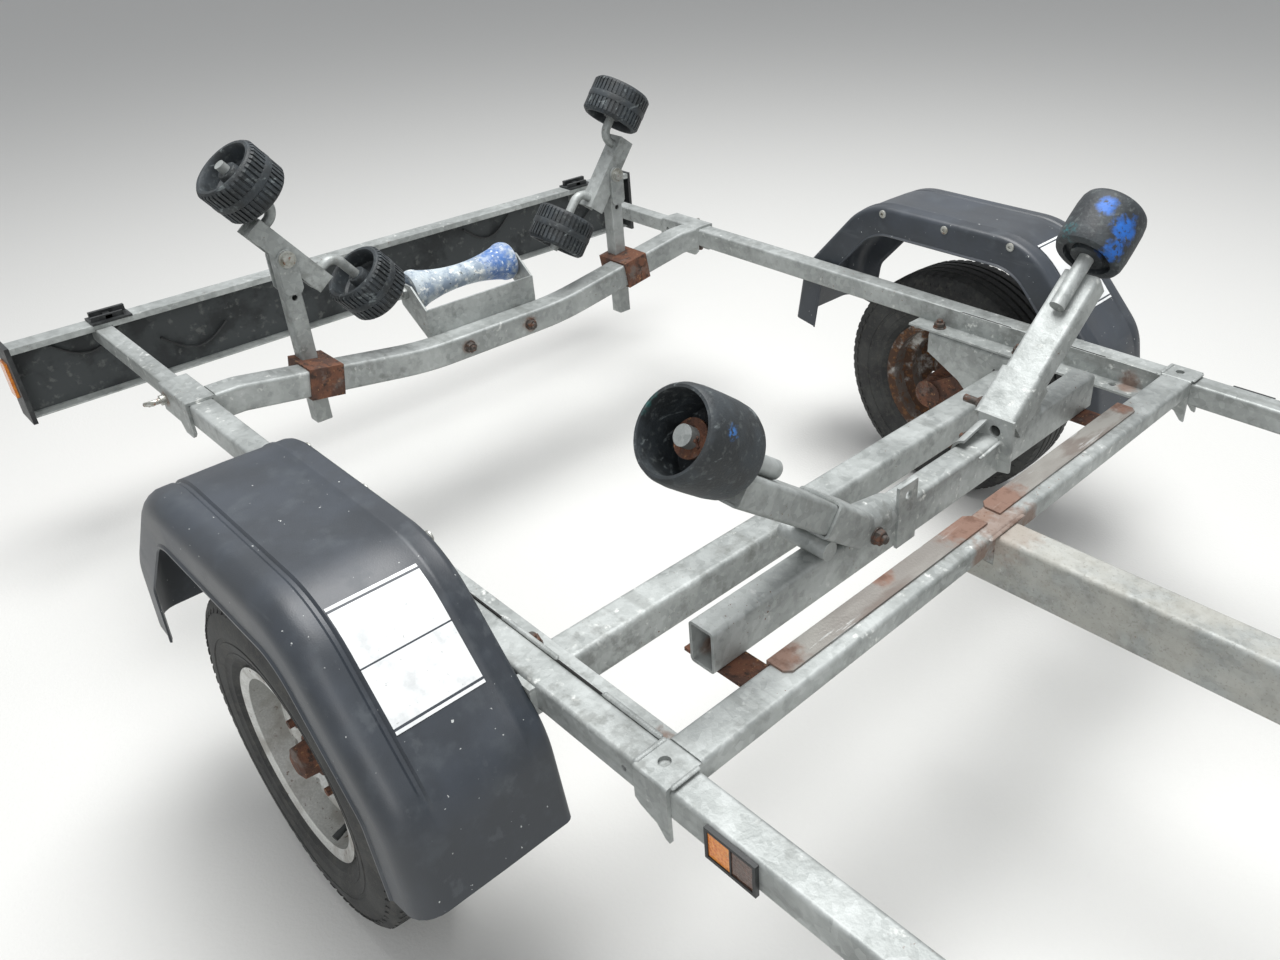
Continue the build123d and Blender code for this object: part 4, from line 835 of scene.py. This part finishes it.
def shoulderLug(side):
    # one raised block across the tread's shoulder, at the top of the wheel
    r = tyre["radius"]
    outline = [(38, r - 1.2), (57.5, r - 2.6), (68.4, r - 21), (60, r - 24)]
    return prism([(-6.2, side * y, z) for y, z in outline], (12.4, 0, 0))


def makeTyres():
    for name, side in (("left", 1), ("right", -1)):
        centre = (0, side * tyre["y"], tyre["z"])
        rubber = finishes["tyre_rubber"]
        body = makeMesh("tyreBody", turnedShape(tyreProfile(), centre, (0, 1, 0), 160), rubber, 40)
        rings = [growRing("shoulderLugs", shoulderLug(m), tyre["lugs"], centre, (0, 1, 0), rubber, 0.04 * m)
                 for m in (1, -1)]
        makePiece("tyre" + name.title(), joinMeshes("tyre", [body] + rings, [rubber]), "wheel_" + name,
                  "tyre_rubber", "tyre_" + name)
        foot, tip = Vector(valve["foot"]), Vector(valve["tip"])
        stub = join(roundBar(foot, tip, valve["radius"]), roundBar(foot, foot.lerp(tip, 0.3), valve["base"]),
                    roundBar(foot.lerp(tip, 0.75), tip, valve["cap"]))
        makeSolid("valve" + name.title(), onSide(side, stub), "black_plastic", body="wheel_" + name)


# rollers
armAngle = math.radians(37.3)


def sideAxis(side):
    return Vector((0, side * math.cos(armAngle), math.sin(armAngle)))


sideRoller = {"foot": (412, 131, 513), "along": 361, "half": 47, "radius": 55}
ribbed = {"half": 38, "radius": 62, "angle": math.radians(52.6), "offset": 57, "ribs": 40, "ribWidth": 5.8,
          "ribSpan": (7, 31, 35), "x": -700, "spots": {"outer": 130, "inner": -160},
          "pivots": {"left": (366, 631), "right": (366, 646)}}


def makeSideRollers():
    h, r = sideRoller["half"], sideRoller["radius"]
    profile = [(-h, 38), (-h, 47), (-h + 2, 51), (-h + 8, 53.6), (-h + 22, 54.8), (0, r), (h - 22, 54.6),
               (h - 8, 53), (h - 2, 50.6), (h, 48.6), (h, 45.4), (h - 2, 44.6), (-h + 24, 47), (-h + 20, 44),
               (-h + 19, 22), (12, 20), (12, 12.6), (-h, 12.6), (-h, 26), (-h + 8, 27), (-h + 8, 37)]
    for name, side, slot in (("left", 1, "worn_blue_roller"), ("right", -1, "roller_rubber")):
        axis = sideAxis(side)
        x, y, z = sideRoller["foot"]
        centre = Vector((x, side * y, z)) + axis * sideRoller["along"]
        makeSolid("sideRoller" + name.title(), turnedShape(profile, centre, axis, 96), slot,
                  "side_roller_" + name, body="side_roller_" + name + "_body")


def makeRibbedRollers():
    h, r = ribbed["half"], ribbed["radius"]
    profile = evened([(4, r), (6.5, r - 0.6), (8, r - 3.2), (h - 6, r - 3.6), (h - 2.5, r - 4.6), (h, r - 7),
                      (h, r - 12), (h - 3, r - 14), (h - 12, r - 14.5), (8, r - 16), (4, r - 20), (4, 20),
                      (h - 10, 17.5), (h - 8, 16), (h - 8, 9.1)])
    low, top = r - 4.4, r - 0.7
    rubber, width, t = finishes["roller_rubber"], ribbed["ribWidth"], ribbed["angle"]
    for name, (y, z) in ribbed["pivots"].items():
        side = 1 if name == "left" else -1
        along = Vector((0, side * math.cos(t), math.sin(t)))
        toward = Vector((0, -side * math.sin(t), math.cos(t)))
        for which, spot in ribbed["spots"].items():
            centre = Vector((ribbed["x"], side * y, z)) + along * spot + toward * ribbed["offset"]
            body = makeMesh("rollerBody", turnedShape(profile, centre, along, 96), rubber)
            bands = []
            for m in (1, -1):
                a, b, c = (m * span for span in ribbed["ribSpan"])
                outline = ((a, low), (c, low), (c, low + 0.8), (b, top), (a, top))
                rib = prism([(-width / 2, spanned, height) for spanned, height in outline], (width, 0, 0))
                bands.append(growRing("ribs", rib, ribbed["ribs"], centre, along, rubber, 0.03 * m))
            whole = joinMeshes("ribbedRoller", [body] + bands, [rubber])
            where = name + "_" + which
            makePiece("ribbedRoller" + name.title() + which.title(), whole, "ribbed_" + where,
                      "roller_rubber", "ribbed_roller_" + where)


def makeSignSheet():
    s = startSurface("whiteSignSheet", "#e6e8e8", 0.4)  # plain white vinyl, a little dusty
    weather(s, 30, 0.5, 0.7, "#cfd2d2", 0.55, detail=7)
    weather(s, 5, 0.66, 0.7, "#9a9c98", 0.6, strength=0.5)
    return finishSurface(s)


signFinish = makeSignSheet()
signLineFinish = finishSurface(startSurface("thinDarkPrintedLine", "#3a3f45", 0.5))
makeGuards()
print("mudguards done")
makeTyres()
print("tyres done")
makeSideRollers()
makeRibbedRollers()
print("rollers done")


# side arms, their holders and the beam they stand on
arm = {"foot": (412, 143, 482), "start": 60, "end": 305, "width": 60, "height": 40, "wall": 3.5, "corner": 6}
spindle = {"lift": 31.9, "start": 232, "end": 400, "radius": 12, "washer": (382.6, 386.4, 22), "pin": 393}
holder = {"start": 38, "end": 121, "width": 68, "height": 48, "wall": 3.8, "corner": 7, "neck": (20.5, 24.5),
          "neckEnds": ((412, 92, 485.5), (412, 178, 502.5)), "propEnds": ((362, 238, 509), (438, 238, 509)),
          "propRadius": 13}
beam = {"x": 412, "z": 466, "half": 432, "width": 40, "height": 60, "wall": 4,
        "rightLug": {"x": 432, "y": (-98, -58), "z": (437, 531), "hole": (-78, 513, 6.5), "thick": 5},
        "leftLug": {"y": 150, "hole": (422.5, 507, 9), "thick": 5,
                    "outline": ((393, 495), (431, 495), (431, 442), (452, 446), (452, 530), (393, 530))}}
member = {"x": 516, "z": 458, "half": 553, "width": 50, "height": 30, "wall": 3, "drawbarWidth": 50}
flat = {"y": 400, "width": 44, "x": (370, 511), "z": (431, 436), "packer": (493, 443.2)}
longBolt = {"flats": 19, "height": 9, "washer": 12.5, "thread": 6, "tail": 7}
clampBolt = {"flats": 19, "height": 9, "washer": 13, "thread": 6, "tail": 26}


def onArm(along, over=0.0, x=0.0):
    c, s = math.cos(armAngle), math.sin(armAngle)
    return Vector(arm["foot"]) + Vector((x, along * c - over * s, along * s + over * c))


def armShape():
    # the tube with its capped end and the spindle that lies on it, then the washer and its split pin
    aim, side, over = across(onArm(1) - onArm(0))
    width, height, end = arm["width"], arm["height"], arm["end"]
    tube = squareTube(onArm(arm["start"]), onArm(end), width, height, arm["wall"], arm["corner"])
    cap = prism(roundedRing(onArm(end - 5), side, over, width - 6.4, height - 6.4, 3), aim * 3.5)
    lift, pin, (near, far, radius) = spindle["lift"], spindle["pin"], spindle["washer"]
    rod = roundBar(onArm(spindle["start"], lift), onArm(spindle["end"], lift), spindle["radius"])
    washer = roundBar(onArm(near, lift), onArm(far, lift), radius, 32)
    splitPin = [roundBar(onArm(pin, lift, -17), onArm(pin, lift, 15), 1.9, 10)]
    splitPin += [roundBar(onArm(pin, lift, 15), onArm(pin + 6 + 4 * m, lift + 5 * m, 22), 1.6, 8)
                 for m in (1, -1)]
    return join(tube, cap, rod), join(washer, *splitPin)


def holderShape(beside):
    # beside cuts the front of the bowed neck away for a lug that stands next to it
    aim, side, over = across(onArm(1) - onArm(0))
    start, width, height = (holder[key] for key in ("start", "width", "height"))
    sleeve = squareTube(onArm(start), onArm(holder["end"]), width, height, holder["wall"], holder["corner"])
    foot = prism(roundedRing(onArm(start + 0.4), side, over, width - 7, height - 7, 4), aim * 4)
    low, high = holder["neck"]
    first, last = (Vector(p) for p in holder["neckEnds"])
    middle = first.lerp(last, 0.72)
    arches = []
    for begin, close, bottom in ((first, middle, 11 if beside else 0), (middle, last, 0)):
        bow = [(math.cos(math.pi * i / 20), math.sin(math.pi * i / 20)) for i in range(bottom, 21)]
        ring = [begin + Vector((high * c, 0, high * s)) for c, s in bow]
        ring += [begin + Vector((low * c, 0, low * s)) for c, s in reversed(bow)]
        arches.append(prism(ring, close - begin))
    sleeveEnd = [(p.y, p.z) for p in (onArm(start + 3, 21), onArm(start + 3, -21))]
    cheek = [(92, 486), (158, 499), *sleeveEnd, (147, 464), (131, 468)]
    front = [(156, 498), (158, 499), *sleeveEnd, (156, 467)] if beside else cheek
    cheeks = [prism([(first.x - high, y, z) for y, z in cheek], (high - low, 0, 0)),
              prism([(first.x + low, y, z) for y, z in front], (high - low, 0, 0))]
    prop = roundBar(*holder["propEnds"], holder["propRadius"])
    return join(sleeve, foot, *arches, *cheeks, prop)


def crossTube(sizes):
    # a tube with rounded corners that lies across the trailer
    x, z, half = sizes["x"], sizes["z"], sizes["half"]
    return squareTube((x, -half, z), (x, half, z), sizes["width"], sizes["height"], sizes["wall"], 6)


def beamShape():
    right, left = beam["rightLug"], beam["leftLug"]
    x, (y0, y1), (z0, z1) = right["x"], right["y"], right["z"]
    rightLug = holedPlate([(x, y0, z0), (x, y1, z0), (x, y1, z1), (x, y0, z1)],
                          [[(x, y, z) for y, z in circle(*right["hole"])]], (right["thick"], 0, 0))
    y = left["y"]
    leftLug = holedPlate([(x, y, z) for x, z in left["outline"]],
                         [[(x, y, z) for x, z in circle(*left["hole"])]], (0, left["thick"], 0))
    return join(crossTube(beam), rightLug, leftLug)


def flatShape():
    (x0, x1), (z0, z1), (packerStart, packerTop) = flat["x"], flat["z"], flat["packer"]
    bars = []
    for y in (-flat["y"], flat["y"]):
        y0, y1 = y - flat["width"] / 2, y + flat["width"] / 2
        bars += [block(x0, x1, y0, y1, z0, z1), block(packerStart, x1, y0, y1, z1, packerTop)]
    return join(*bars)


def boltSpots():
    # ((x, y, z), direction) of each bolt: saddles, axle plates, arm feet, keel bracket and coupling
    spots = []
    for side in (1, -1):
        spots += [((510, side * 578, 428), (0, 0, -1)), ((-651, side * 578, 428), (0, 0, -1))]
        for x in (57, 231):
            spots += [((x, side * 540, 432), (0, 0, 1)), ((x, side * 540, 423), (0, 0, -1))]
        spots += [((387.5, side * 143, 482), (-1, 0, 0)), ((-634, side * 73, 392), (1, 0, 0))]
        spots += [((x, side * 30, 438), (0, side, 0)) for x in (2810, 2870)]
    return spots + [((436.5, -143, 482), (1, 0, 0))]


def makeArms():
    plain, small = armShape()
    makeSolid("sideArmTubes", join(plain, mirrored(plain)), "galvanised", "side_arms")
    makeSolid("spindleWashers", join(small, mirrored(small)), "rusty_steel")
    holders = join(holderShape(True), mirrored(holderShape(False)))
    makeSolid("armHolders", holders, "galvanised", "arm_sleeves")
    makeSolid("rollerBeam", beamShape(), "galvanised", "roller_beam")
    half = member["drawbarWidth"] / 2 - 0.4
    seat = block(491.5, 540.5, -half, half, 423, 443.2)
    makeSolid("frontMember", join(crossTube(member), seat), "galvanised", "front_cross_member")
    makeSolid("beamFlats", flatShape(), "rusty_steel", "beam_bars")
    heads = growFasteners("frameBolts", hexBolt(**longBolt), boltSpots(), boltFinish, 1.0)
    spot = onArm(arm["start"])
    clamps = [((378, side * spot.y, spot.z), (-1, 0, 0)) for side in (1, -1)]
    clampHeads = growFasteners("clampBolts", hexBolt(**clampBolt), clamps, boltFinish, 1.0)
    bolts = joinMeshes("fasteners", [heads, clampHeads], [boltFinish])
    makePiece("frameFasteners", bolts, "chassis", "rusty_steel", "frame_bolts")


# reflectors on the rails, weld beads and the painted shadow in the gaps between welds
reflector = {"x": (593, 660), "y": 598, "z": (424, 466), "rim": 4, "frame": 5, "lens": 3.6, "split": 627}


def makeRailReflectors():
    (x0, x1), y, (z0, z1), split = reflector["x"], reflector["y"], reflector["z"], reflector["split"]
    rim, top = reflector["rim"], y + reflector["lens"]
    a, b, c, d = x0 + rim, x1 - rim, z0 + rim, z1 - rim
    frames, orange, brown = [], [], []
    for side in (1, -1):
        plate = holedPlate([(x0, y, z0), (x1, y, z0), (x1, y, z1), (x0, y, z1)],
                           [[(a, y, c), (a, y, d), (b, y, d), (b, y, c)]], (0, reflector["frame"], 0))
        bar = block(split - 1, split + 1, y, top + 1, c - 1, d + 1)
        frames += [onSide(side, plate), onSide(side, bar)]
        orange.append(onSide(side, block(a - 1, split - 0.5, y, top, c - 1, d + 1)))
        brown.append(onSide(side, block(split + 0.5, b + 1, y, top, c - 1, d + 1)))
    mesh = mixedMesh("railReflectors", (finishes["black_plastic"], frames), (finishes["amber_lens"], orange),
                     (brownLensFinish, brown))
    makePiece("railReflectors", mesh, "chassis", "amber_lens", "side_reflectors_rail")


weldPitch = 3.2  # from one ripple of a bead to the next
weldRuns = [  # start and end of each bead, in millimetres
    ((20, 556, 468.4), (90, 556, 468.4)), ((204, 556, 468.4), (305, 556, 468.4)),
    ((392, 556, 468.4), (480, 556, 468.4)), ((490, 560, 473), (490, 596, 473)),
    ((542, 562, 472), (542, 594, 472)), ((541.5, -38, 470), (541.5, 38, 470)),
    ((432.5, 100, 488), (432.5, 170, 494)),
]


def makeWelds():
    outline = [(-1.5, 0.2), (-1.2, 3.0), (0.2, 3.4), (1.3, 2.2), (1.9, 0.2)]
    ripple = turnedShape(outline, (0, 0, 0), (0, 0, 1), 14)
    spots = []
    for start, end in weldRuns:
        start, end = Vector(start), Vector(end)
        count = round((end - start).length / weldPitch)
        for side in (1, -1) if abs(start.y + end.y) > 10 else (1,):  # a bead on the centreline stands once
            for i in range(count + 1):
                p = start.lerp(end, i / count)
                spots.append(((p.x, side * p.y, p.z), (0, 0.25 * side, 1)))
    beads = growFasteners("weldBeads", ripple, spots, finishes["galvanised"], 6.0)
    makePiece("weldBeads", beads, "chassis", "galvanised")
    gapShadows = []
    # painted shadow: thin near-black strips laid in the gaps between the weld runs
    for x0, x1 in ((94, 200), (309, 388)):
        gap = block(x0, x1, 556.6, 559.0, 467.6, 468.5)
        gapShadows += [gap, mirrored(gap)]
    makeSolid("weldGaps", join(*gapShadows), "galvanised", finish=gapShadowFinish)


def makeBoltSteel():
    s = startSurface("weatheredBoltSteel", "#4d4844", 0.6, 0.5)  # zinc gone, dark with thin brown rust
    weather(s, 12, 0.45, 0.62, "#5f4233", 0.85, 0.05, detail=7, seed=3.0)
    weather(s, 6, 0.58, 0.68, "#7d7a76", 0.5, 0.7, seed=6.0)
    roughen(s, 0.2, 2.5, 0.3, 0.7)
    return finishSurface(s, edgeMm=0.5)


boltFinish = makeBoltSteel()
brownLensFinish = makeLens("sootyBrownLens", "#3a2218", "#5a3a28")
gapShadowFinish = finishSurface(startSurface("paintedGapShadow", "#151514", 0.9))  # painted shadow in the gap between the plates, and old dirt
makeArms()
makeRailReflectors()
makeWelds()
print("arms done")


# light board fittings
board = {"clips": (-560, 580), "top": 473, "shadeSheet": (734, 330, 460),
         "leads": ((-610, 448, 0.4), (-420, 400, -0.3), (300, 440, 0.2), (560, 410, -0.5)),  # y, z and tilt
         "leadRadius": 2.6, "leadLength": 130, "leadSag": 38}
lamp = {"x": (-1174, -1171.5, -1140), "y": (498, 718), "z": (343, 443), "rim": 4,
        "red": ((502, 574), (578, 648)), "amber": (652, 714), "triangle": (342, 494, 338, 465)}


def leadShape(y, z, tilt):
    # a short lead that hangs in a bow in front of the painted shade sheet
    steps = 12
    points = []
    for i in range(steps + 1):
        t = i / steps
        sag = board["leadSag"] * math.sin(math.pi * t)
        points.append(Vector((-1131, y + board["leadLength"] * t - 60, z - sag + 20 * tilt * t)))
    runs = zip(points, points[1:])
    return join(*[roundBar(a, b + (b - a) * 0.08, board["leadRadius"], 8) for a, b in runs])


def makeBoardFittings():
    clips, top, (half, low, high) = [], board["top"], board["shadeSheet"]
    for y in board["clips"]:
        clips += [block(-1143, -1096, y - 36, y + 36, top, top + 4),
                  block(-1136, -1128, y - 30, y + 34, top + 4, top + 16),
                  block(-1112, -1106, y - 34, y + 24, top + 4, top + 13),
                  block(-1136, -1106, y - 8, y + 4, top + 4, top + 11)]
    makeSolid("boardClips", join(*clips), "black_plastic", body="light_board")
    # painted shade: a thin dark sheet over the board's inner face, where the web lies in shadow
    makeSolid("boardLining", block(-1136.9, -1135.6, -half, half, low, high), "black_plastic",
              body="light_board", finish=webShadeFinish)
    makeSolid("boardCables", join(*[leadShape(*lead) for lead in board["leads"]]), "black_plastic",
              body="light_board")


def makeRearLamps():
    (rear, seat, face), (y0, y1), (z0, z1), rim = lamp["x"], lamp["y"], lamp["z"], lamp["rim"]
    housings, lenses, panes, triangles = [], [], [], []
    for side in (1, -1):
        housings.append(onSide(side, block(seat, face, y0, y1, z0, z1)))
        windows = [onSide(side, block(rear, seat + 0.5, low, high, z0 + rim, z1 - rim))
                   for low, high in (*lamp["red"], lamp["amber"])]
        lenses += windows[:2]
        panes.append(windows[2])
        left, right, foot, tip = lamp["triangle"]
        corners = [(-1148, left, foot), (-1148, right, foot), (-1148, (left + right) / 2, tip)]
        triangles.append(onSide(side, prism(corners, (8, 0, 0))))
    lamps = mixedMesh("rearLamps", (finishes["black_plastic"], housings),
                      (finishes["red_lens"], lenses + triangles), (finishes["amber_lens"], panes))
    makePiece("rearLamps", lamps, "light_board", "red_lens", "rear_lamps")


def makePaintedWebShade():
    s = startSurface("paintedBoardWebShade", "#3c4041", 0.7, 0.1)  # painted shade: the board's web in shadow, a dark grey sheet with cloudy darker patches and paler specks
    weather(s, 70, 0.45, 0.62, "#2b2e2f", 0.75, seed=4.0)
    weather(s, 20, 0.56, 0.7, "#6a6d6a", 0.75, strength=0.6, detail=7, seed=8.0)
    return finishSurface(s)


webShadeFinish = makePaintedWebShade()
makeBoardFittings()
makeRearLamps()
print("light board done")


# floor, light and camera
studio = {"floor": 60.0, "lamp": 0.4, "backdrop": 0.85, "areas": (  # name, place, aim, size and watts
    ("overhead", (-1.2, 0.3, 4.2), (-0.9, 0, 0.4), 2.6, 215),
    ("side", (2.6, -3.4, 3.0), (-0.6, 0, 0.3), 2.4, 75))}
view = {"place": (0.1700, -1.0425, 1.2727), "turned": 44.587, "down": 30.186, "rolled": -1.300,
        "pixels": 1053.1, "middle": (751.4, 439.8), "photo": (1280, 960), "film": 36.0}


def makeStage():
    mesh = bpy.data.meshes.new("floor")
    half = studio["floor"] / 2
    mesh.from_pydata([(-half, -half, 0), (half, -half, 0), (half, half, 0), (-half, half, 0)], [],
                     [(0, 1, 2, 3)])
    floor = bpy.data.objects.new("floor", mesh)
    bpy.context.scene.collection.objects.link(floor)
    pale = startSurface("paleStudioFloor", "#dcdcd9", 0.75)
    roughen(pale, 0.2, 6, 0.3, 0.7)
    mesh.materials.append(finishSurface(pale))

    world = bpy.data.worlds.new("softStudio")
    bpy.context.scene.world = world
    world.use_nodes = True
    tree = world.node_tree
    tree.nodes.clear()
    ray = add(tree, "ShaderNodeLightPath")
    seen = add(tree, "ShaderNodeMath", {0: ray.outputs["Is Camera Ray"], 1: ray.outputs["Is Glossy Ray"]},
               operation="MAXIMUM")
    seen = add(tree, "ShaderNodeMath", {0: seen.outputs[0], 1: ray.outputs["Is Transmission Ray"]},
               operation="MAXIMUM")
    sky = add(tree, "ShaderNodeBackground", {"Color": linear("#f4f6fa"), "Strength": studio["lamp"]})
    backdrop = add(tree, "ShaderNodeBackground", {
        "Color": linear("#eef0f2"), "Strength": studio["backdrop"]})
    mixed = add(tree, "ShaderNodeMixShader", {
        0: seen.outputs[0], 1: sky.outputs[0], 2: backdrop.outputs[0]})
    add(tree, "ShaderNodeOutputWorld", {"Surface": mixed.outputs[0]})

    for name, spot, aim, size, watts in studio["areas"]:
        light = bpy.data.lights.new(name, "AREA")
        light.size = size
        light.energy = watts
        area = bpy.data.objects.new(name, light)
        area.location = spot
        area.rotation_euler = (Vector(aim) - Vector(spot)).to_track_quat("-Z", "Y").to_euler()
        bpy.context.scene.collection.objects.link(area)


def makeCamera():
    turned, down, rolled = (math.radians(view[k]) for k in ("turned", "down", "rolled"))
    ahead = Vector((-math.sin(turned) * math.cos(down), math.cos(turned) * math.cos(down), -math.sin(down)))
    right = ahead.cross(Vector((0, 0, 1))).normalized()
    above = right.cross(ahead)
    side = right * math.cos(rolled) + above * math.sin(rolled)
    top = above * math.cos(rolled) - right * math.sin(rolled)
    camera = bpy.data.objects.new("camera", bpy.data.cameras.new("camera"))
    turn = Matrix((side, top, -ahead)).transposed().to_4x4()
    camera.matrix_world = Matrix.Translation(view["place"]) @ turn
    (wide, high), (middleX, middleY) = view["photo"], view["middle"]
    camera.data.sensor_width = view["film"]
    camera.data.lens = view["pixels"] * view["film"] / wide
    camera.data.shift_x = (wide / 2 - middleX) / wide
    camera.data.shift_y = (middleY - high / 2) / wide
    camera.data.clip_end = 200.0
    bpy.context.scene.collection.objects.link(camera)
    bpy.context.scene.camera = camera


makeStage()
makeCamera()
bpy.context.scene.view_settings.view_transform = "Standard"
print("stage done")
